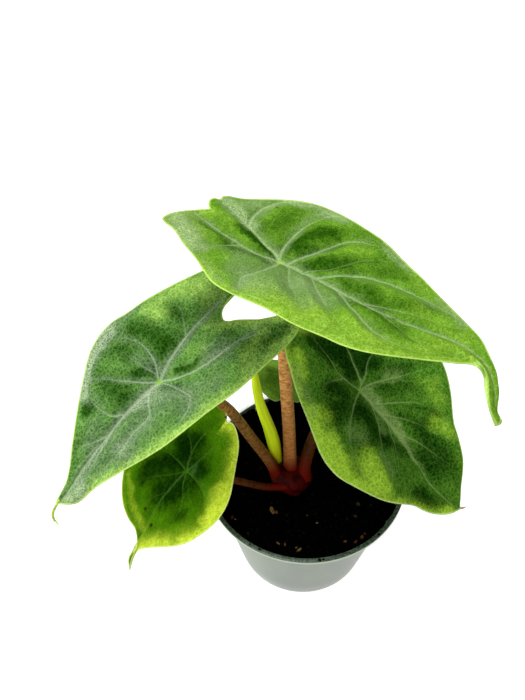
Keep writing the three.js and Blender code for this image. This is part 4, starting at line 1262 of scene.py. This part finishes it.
# The small plain leaf behind the top petiole.
LEAVES["back_leaf"] = {
    **leaf_tones("628a24 6e9632 3a5c12 6c9228 7a9a58 6c9040 5f8040 7a9c50 6a9436 7f9c5c"),
    "cell": 0.1,
    "pitch": 0.8,
    "net": 0.2,
    "silver": 0.4,
    "line": 0.4,
    "rim": (3, 0.3, 3, 0.3),
    "puff": 0.7,
    "navel": (-8.4, 22.5, 91.5),
    "heading": 88,
    "dip": 16,
    "roll": 0,
    "length": 38,
    "tip": 7,
    "droop": 34,
    "tip_bend": 30,
    "back": -4,
    "lobe_reach": 10.5,
    "fold": -6,
    "curl": (14, 14),
    "wave": (0.4, 3, 0.8),
    "outline": {
        side: [(45, 0), (40.8, sign * 1), (38, sign * 2), (33.4, sign * 4), (27.4, sign * 9.5)]
        + [(19, sign * 14), (9.5, sign * 15), (0, sign * 12.6), (-5.2, sign * 10), (-10.5, sign * 4.6)]
        + [(-9, sign * 1.8), (-7.7, sign * 0.6), (-7.5, 0)]
        for side, sign in (("right", 1), ("left", -1))
    },
    "limes": [(4, 0.6, [(28, -2), (32, 2)])],
    "darks": [(5, 0.7, [(6, 7), (12, 7)]), (5, 0.7, [(6, -7), (12, -7)])],
    "silvers": [(2, 0.7, [(0, 0), (16, 0)])],
    "spots": [],
    "veins": [
        (0.8, [(0, 0), (20, 0.3), (42, 0)]),
        (0.6, [(0, 0), (-4, 2), (-8.5, 3.2)]),
        (0.6, [(0, 0), (-4, -2), (-8.5, -3.2)]),
        (0.4, [(0, 0), (2, 5), (8, 12)]),
        (0.4, [(0, 0), (2, -5), (8, -12)]),
        (0.4, [(8, 0), (13, 4.5), (22, 9.5)]),
        (0.4, [(9, 0), (14, -4.5), (23, -9.5)]),
        (0.4, [(17, 0), (22, 3.5), (30, 5)]),
        (0.4, [(18, 0), (23, -3.5), (31, -5)]),
    ],
}
for node, leaf in LEAVES.items():
    piece = blade(node.replace("leaf", "blade"), leaf)
    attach(piece, "root")
    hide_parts(node)
    "old_leaf" if node == "back_leaf" else "leaf"


# Petioles
# One firm round stalk for each leaf, pinkish brown with darker wavy cross marks, red where its sheath
# wraps the crown and olive under the blade. A rod is carried along a smooth line and ends at the navel.
def rod(path, radius, around):
    """Rings round each point of a path, square to it. radius(share, angle) gives the ring's radius. Also
    gives each ring point's place on the rod: across, across, and its distance from the foot."""
    step = np.gradient(path, axis=0)
    tangent = step / np.linalg.norm(step, axis=1)[:, None]
    across = np.cross(tangent, (0.0, 1.0, 0.0))
    across /= np.linalg.norm(across, axis=1)[:, None]
    outward = np.cross(across, tangent)
    turn = np.linspace(0, 2 * np.pi, around, endpoint=False)
    share = np.linspace(0, 1, len(path))[:, None]
    size = radius(share, turn)
    x = size * np.cos(turn)
    y = size * np.sin(turn)
    rows = path[:, None] + x[..., None] * across[:, None] + y[..., None] * outward[:, None]
    length = np.concatenate([[0], np.cumsum(np.linalg.norm(np.diff(path, axis=0), axis=1))])
    return rows, np.stack([x, y, np.broadcast_to(length[:, None], x.shape)], -1)


def rod_piece(name, rows, place, paint):
    """A rod as a closed piece that keeps each point's place on it. Its last two points close the ends."""
    piece = closed_surface(name, rows, paint, [rows[0].mean(0), rows[-1].mean(0)])
    values = [place.reshape(-1, 3), place[0].mean(0)[None], place[-1].mean(0)[None]]
    mark(piece, "rod_place", np.concatenate(values))
    return piece


OLIVE_REACH = 14
RED_REACH = 15
STALK_CUT = 0.95
PETIOLE_RINGS = 150
PETIOLE_SPOKES = 40


def petiole_paint(name, light, marks, length):
    """A skin with soft wavy cross marks, that turns darker with painted shade and then red towards the crown
    and olive under the blade."""
    paint = Paint(name, {"Roughness": 0.5, "Specular IOR Level": 0.04})
    place = paint.attribute("rod_place")
    height = paint.part(place, "Z")
    waves = paint.noise(paint.scaled(place, (0.4, 0.4, 1.0)), 1.0, 3)
    fine = paint.noise(place, 1.1, 4)
    mark_share = paint.rise(waves * 0.6 + fine * 0.4, 0.44, 0.6)
    skin = paint.mix(paint.rise(fine, 0.35, 0.65), tone(light), paint.scaled(tone(light), (1.5, 1.45, 1.5)))
    skin = paint.mix(mark_share * 0.8, skin, tone(marks))
    skin = paint.mix(paint.rise(height, length - OLIVE_REACH, length - 1) * 0.6, skin, tone("8c9a48"))
    # shaded is painted shade: the stalk darkens down towards the crown, under the leaves.
    shaded = paint.scaled(tone(light), (0.42, 0.22, 0.15))
    skin = paint.mix(paint.rise(height, length * 0.6, 10) * 0.65, skin, shaded)
    skin = paint.mix(paint.rise(height, RED_REACH, 4), skin, tone("5c0e02"))
    paint.surface(skin, 0.4, 0.0002, waves + fine)
    return paint


# Each petiole's leaf, its points from the crown up, its radius at the foot, half way and under the blade,
# and the tones of its skin and marks.
PETIOLES = {
    "top_petiole": (
        "top_leaf",
        [(-6, -2.5, 60.5), (-6.7, 0.2, 67), (-7.6, 5.5, 84), (-8.8, 8.9, 102), (-10.4, 14.8, 125)]
        + [(-11.7, 19.2, 150)],
        (2.9, 2.6, 2.0),
        ("bc8a4c", "784a22"),
    ),
    "left_petiole": (
        "left_leaf",
        [(-12.2, -4.2, 60.5), (-14.6, -2, 67), (-24.5, 4.2, 81.5), (-33.1, 9.2, 93.5), (-42, 6.8, 107)]
        + [(-51, 1.8, 120)],
        (2.4, 2.3, 1.8),
        ("8e6a34", "523410"),
    ),
    # The right petiole's dark tones are painted shade under the right leaf.
    "right_petiole": (
        "right_leaf",
        [(-0.6, -4.2, 60.5), (-0.6, -2, 66), (1.8, 4, 73.5), (5, 7.4, 82), (11.5, 10.8, 91.5)],
        (2.8, 2.5, 1.9),
        ("4e300e", "2a1404"),
    ),
    "low_petiole": (
        "low_leaf",
        [(-8.4, -8.4, 60.6), (-17, -9.8, 62.4), (-32, -10.6, 69.5), (-42, -12, 76)],
        (1.6, 1.5, 1.4),
        ("5e3418", "341c0a"),
    ),
    "back_petiole": (
        "back_leaf",
        [(-5.2, 3.3, 60.5), (-6.9, 7.2, 70), (-8.1, 13.4, 81), (-8.4, 18.4, 87)],
        (1.8, 1.7, 1.4),
        ("80602e", "4c3418"),
    ),
}
for node, (leaf_name, route, radii, (light, marks)) in PETIOLES.items():
    leaf = LEAVES[leaf_name]
    path = along([*route, leaf["navel"]], PETIOLE_RINGS)

    def radius(share, turn, radii=radii):
        """Even taper over each half, a few soft flats, and a flare where the sheath wraps the crown."""
        taper = np.interp(share, (0, 0.5, 1), radii)
        flats = 1 + 0.025 * np.cos(3 * turn + 2 * share) + 0.015 * np.cos(5 * turn - 9 * share)
        return taper * flats * (1 + 0.16 * smooth(0.12, 0, share))

    rows, place = rod(path, radius, PETIOLE_SPOKES)
    up = leaf_axes(leaf)[2]
    above = (rows - np.array(leaf["navel"])) @ up + STALK_CUT
    rows = rows - np.maximum(above, 0)[..., None] * up
    paint = petiole_paint(node + "_skin", light, marks, length=place[-1, 0, 2])
    piece = rod_piece(node + "_stalk", rows, place, paint)
    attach(piece, "root")
    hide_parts(node)


# Drip tips
# The left and the right leaf end in a thread that the blade has run out into: a hooked yellow-green one
# and a short dry brown one. Each is a thin rod that starts inside its blade.
DRIP_TIPS = {
    "left_drip_tip": (
        "left_leaf",
        [(61, 1.0), (65, 1.3), (70, 1.5), (73, 0.6), (72, -2.0), (69, -4.8)],
        0.5,
        "9fbf3a",
    ),
    "right_drip_tip": (
        "right_leaf",
        [(66.5, -0.6), (69, -1.6), (70.8, -2.8), (71.8, -3.8)],
        0.45,
        "8a6a3c",
    ),
}
DRIP_RINGS = 60
DRIP_SPOKES = 16
for name, (node, route, width, shade) in DRIP_TIPS.items():
    u, v = along(route, DRIP_RINGS).T

    def radius(share, turn, width=width):
        """Full for half of the length and then a point, a little flattened."""
        return width * (1 - 0.85 * smooth(0.5, 1, share)) * (1 + 0.15 * np.cos(2 * turn))

    rows, place = rod(blade_point(LEAVES[node], u, v, 0 * u), radius, DRIP_SPOKES)
    paint = Paint(name + "_skin", {"Roughness": 0.5})
    streak = paint.noise(paint.attribute("rod_place"), 1.2, 3)
    dull = paint.mix(0.45, tone(shade), tone("5a4a20"))
    skin = paint.mix(paint.rise(streak, 0.35, 0.65), tone(shade), dull)
    paint.feed(paint.shader.inputs["Base Color"], skin)
    piece = rod_piece(name, rows, place, paint)
    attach(piece, "root")


# The rolled leaf
# The newest blade, still rolled round itself on its own stalk: bright yellow-green and smooth, with one
# edge lapped over the other. The lap climbs slowly round it from foot to point.
ROLL_ROUTE = [(-11.4, 1.6, 60.8), (-12.4, 2.8, 66), (-15.8, 5.2, 83.5), (-20.4, 7.6, 102)]
ROLL_ROUTE += [(-22.3, 11.3, 116), (-22.7, 15, 127)]
ROLL_SHARES = (0, 0.12, 0.26, 0.45, 0.7, 1)
ROLL_RADII = (1.4, 2.4, 3.0, 2.6, 2.1, 2.0)
ROLL_RINGS = 150
ROLL_SPOKES = 64
LAP_STEP = 0.11
LAP_START = 0.9
LAP_CLIMB = 1.5


def roll_radius(share, turn):
    """A spindle, widest at a quarter of its height, whose radius falls by a ninth once round to the lap."""
    belly = along(np.stack([ROLL_SHARES, ROLL_RADII], -1), 60)
    spindle = np.interp(share, belly[:, 0], belly[:, 1])
    point = 1 - 0.94 * smooth(0.62, 1, share) ** 2
    lap = ((turn - LAP_START - LAP_CLIMB * share) / (2 * np.pi)) % 1
    wrapped = smooth(0.18, 0.3, share)
    return spindle * point * (0.98 - LAP_STEP * wrapped * lap**1.5)


fresh = Paint("rolled_leaf_skin", {"Roughness": 0.5, "Specular IOR Level": 0.1})
place = fresh.attribute("rod_place")
height = fresh.part(place, "Z")
streak = fresh.noise(fresh.scaled(place, (0.9, 0.9, 0.06)), 1.0, 3)
skin = fresh.mix(fresh.rise(streak, 0.3, 0.7), tone("aec404"), tone("c4d81c"))
skin = fresh.mix(fresh.rise(height, 20, 3), skin, tone("a39a04"))
skin = fresh.mix(fresh.rise(height, 6, 1), skin, tone("6b2a0c"))
fresh.surface(skin, 0.25, 0.0002, streak)
rows, place = rod(along(ROLL_ROUTE, ROLL_RINGS), roll_radius, ROLL_SPOKES)
piece = rod_piece("rolled_blade", rows, place, fresh)
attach(piece, "root")
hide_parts("rolled_leaf")


# The crown
# The short dark red stem base that all petioles come from, wrapped in the folds of old sheaths and sunk in
# the peat. It is a spun bulb with five soft folds and fine wrinkles, in one closed skin.
CROWN_FOOT = 47.0
CROWN_TOP = 65.6
CROWN_RINGS = 60
CROWN_SPOKES = 128
CROWN_LEVELS = [(7.2, CROWN_FOOT), (7.9, 52.8), (8.7, 58.5), (8.2, 62.3), (6.3, 64.5), (4.0, CROWN_TOP)]
crown_line = along(CROWN_LEVELS, CROWN_RINGS)
crown_turn = np.linspace(0, 2 * np.pi, CROWN_SPOKES, endpoint=False)
crown_z = crown_line[:, 1:]
crown_folds = 0.07 * np.cos(5 * crown_turn + 0.6) + 0.03 * np.abs(np.sin(5.5 * crown_turn + 0.15 * crown_z))
crown_wrinkle = 0.02 * lattice_noise(crown_turn * 32 / np.pi, crown_z / 1.4, 21)
crown_relief = smooth(CROWN_FOOT, CROWN_FOOT + 11, crown_z) * (crown_folds + crown_wrinkle)
crown_radius = crown_line[:, :1] * (1 + crown_relief)
crown_x = CROWN_CENTRE[0] + crown_radius * np.cos(crown_turn)
crown_y = CROWN_CENTRE[1] + crown_radius * np.sin(crown_turn)
crown_rows = np.stack([crown_x, crown_y, crown_z + 0 * crown_radius], -1)

red = Paint("crown_skin", {"Roughness": 0.6, "Specular IOR Level": 0.05})
at = red.object_place()
cloud = red.noise(at, 0.25, 3)
fibre = red.noise(red.scaled(at, (1, 1, 0.25)), 1.1, 3)
skin = red.mix(red.rise(cloud, 0.35, 0.65), tone("260201"), tone("460403"))
skin = red.mix(red.rise(fibre, 0.55, 0.75) * 0.5, skin, tone("240603"))
red.surface(skin, 0.4, 0.0004, fibre)
crown_ends = [(*CROWN_CENTRE, CROWN_FOOT), (*CROWN_CENTRE, CROWN_TOP)]
crown = closed_surface("crown_bulb", crown_rows, red, crown_ends)
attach(crown, "root")
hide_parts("crown")


# The table
# One large white sheet that the pot stands on, with a faint glow of its own so that it stays white in the
# plant's shade. It is the ground of the picture and no part of the plant.
TABLE = 3000
TABLE_GLOW = 0.85
white = Paint("white_table", {"Base Color": (0.35, 0.35, 0.35), "Roughness": 0.9})
white.feed(white.shader.inputs["Emission Color"], (1, 1, 1))
white.feed(white.shader.inputs["Emission Strength"], TABLE_GLOW)
corners = [(-TABLE, -TABLE, 0), (TABLE, -TABLE, 0), (TABLE, TABLE, 0), (-TABLE, TABLE, 0)]
table = mesh_piece("white_table", np.array(corners), [(0, 1, 2, 3)], white)
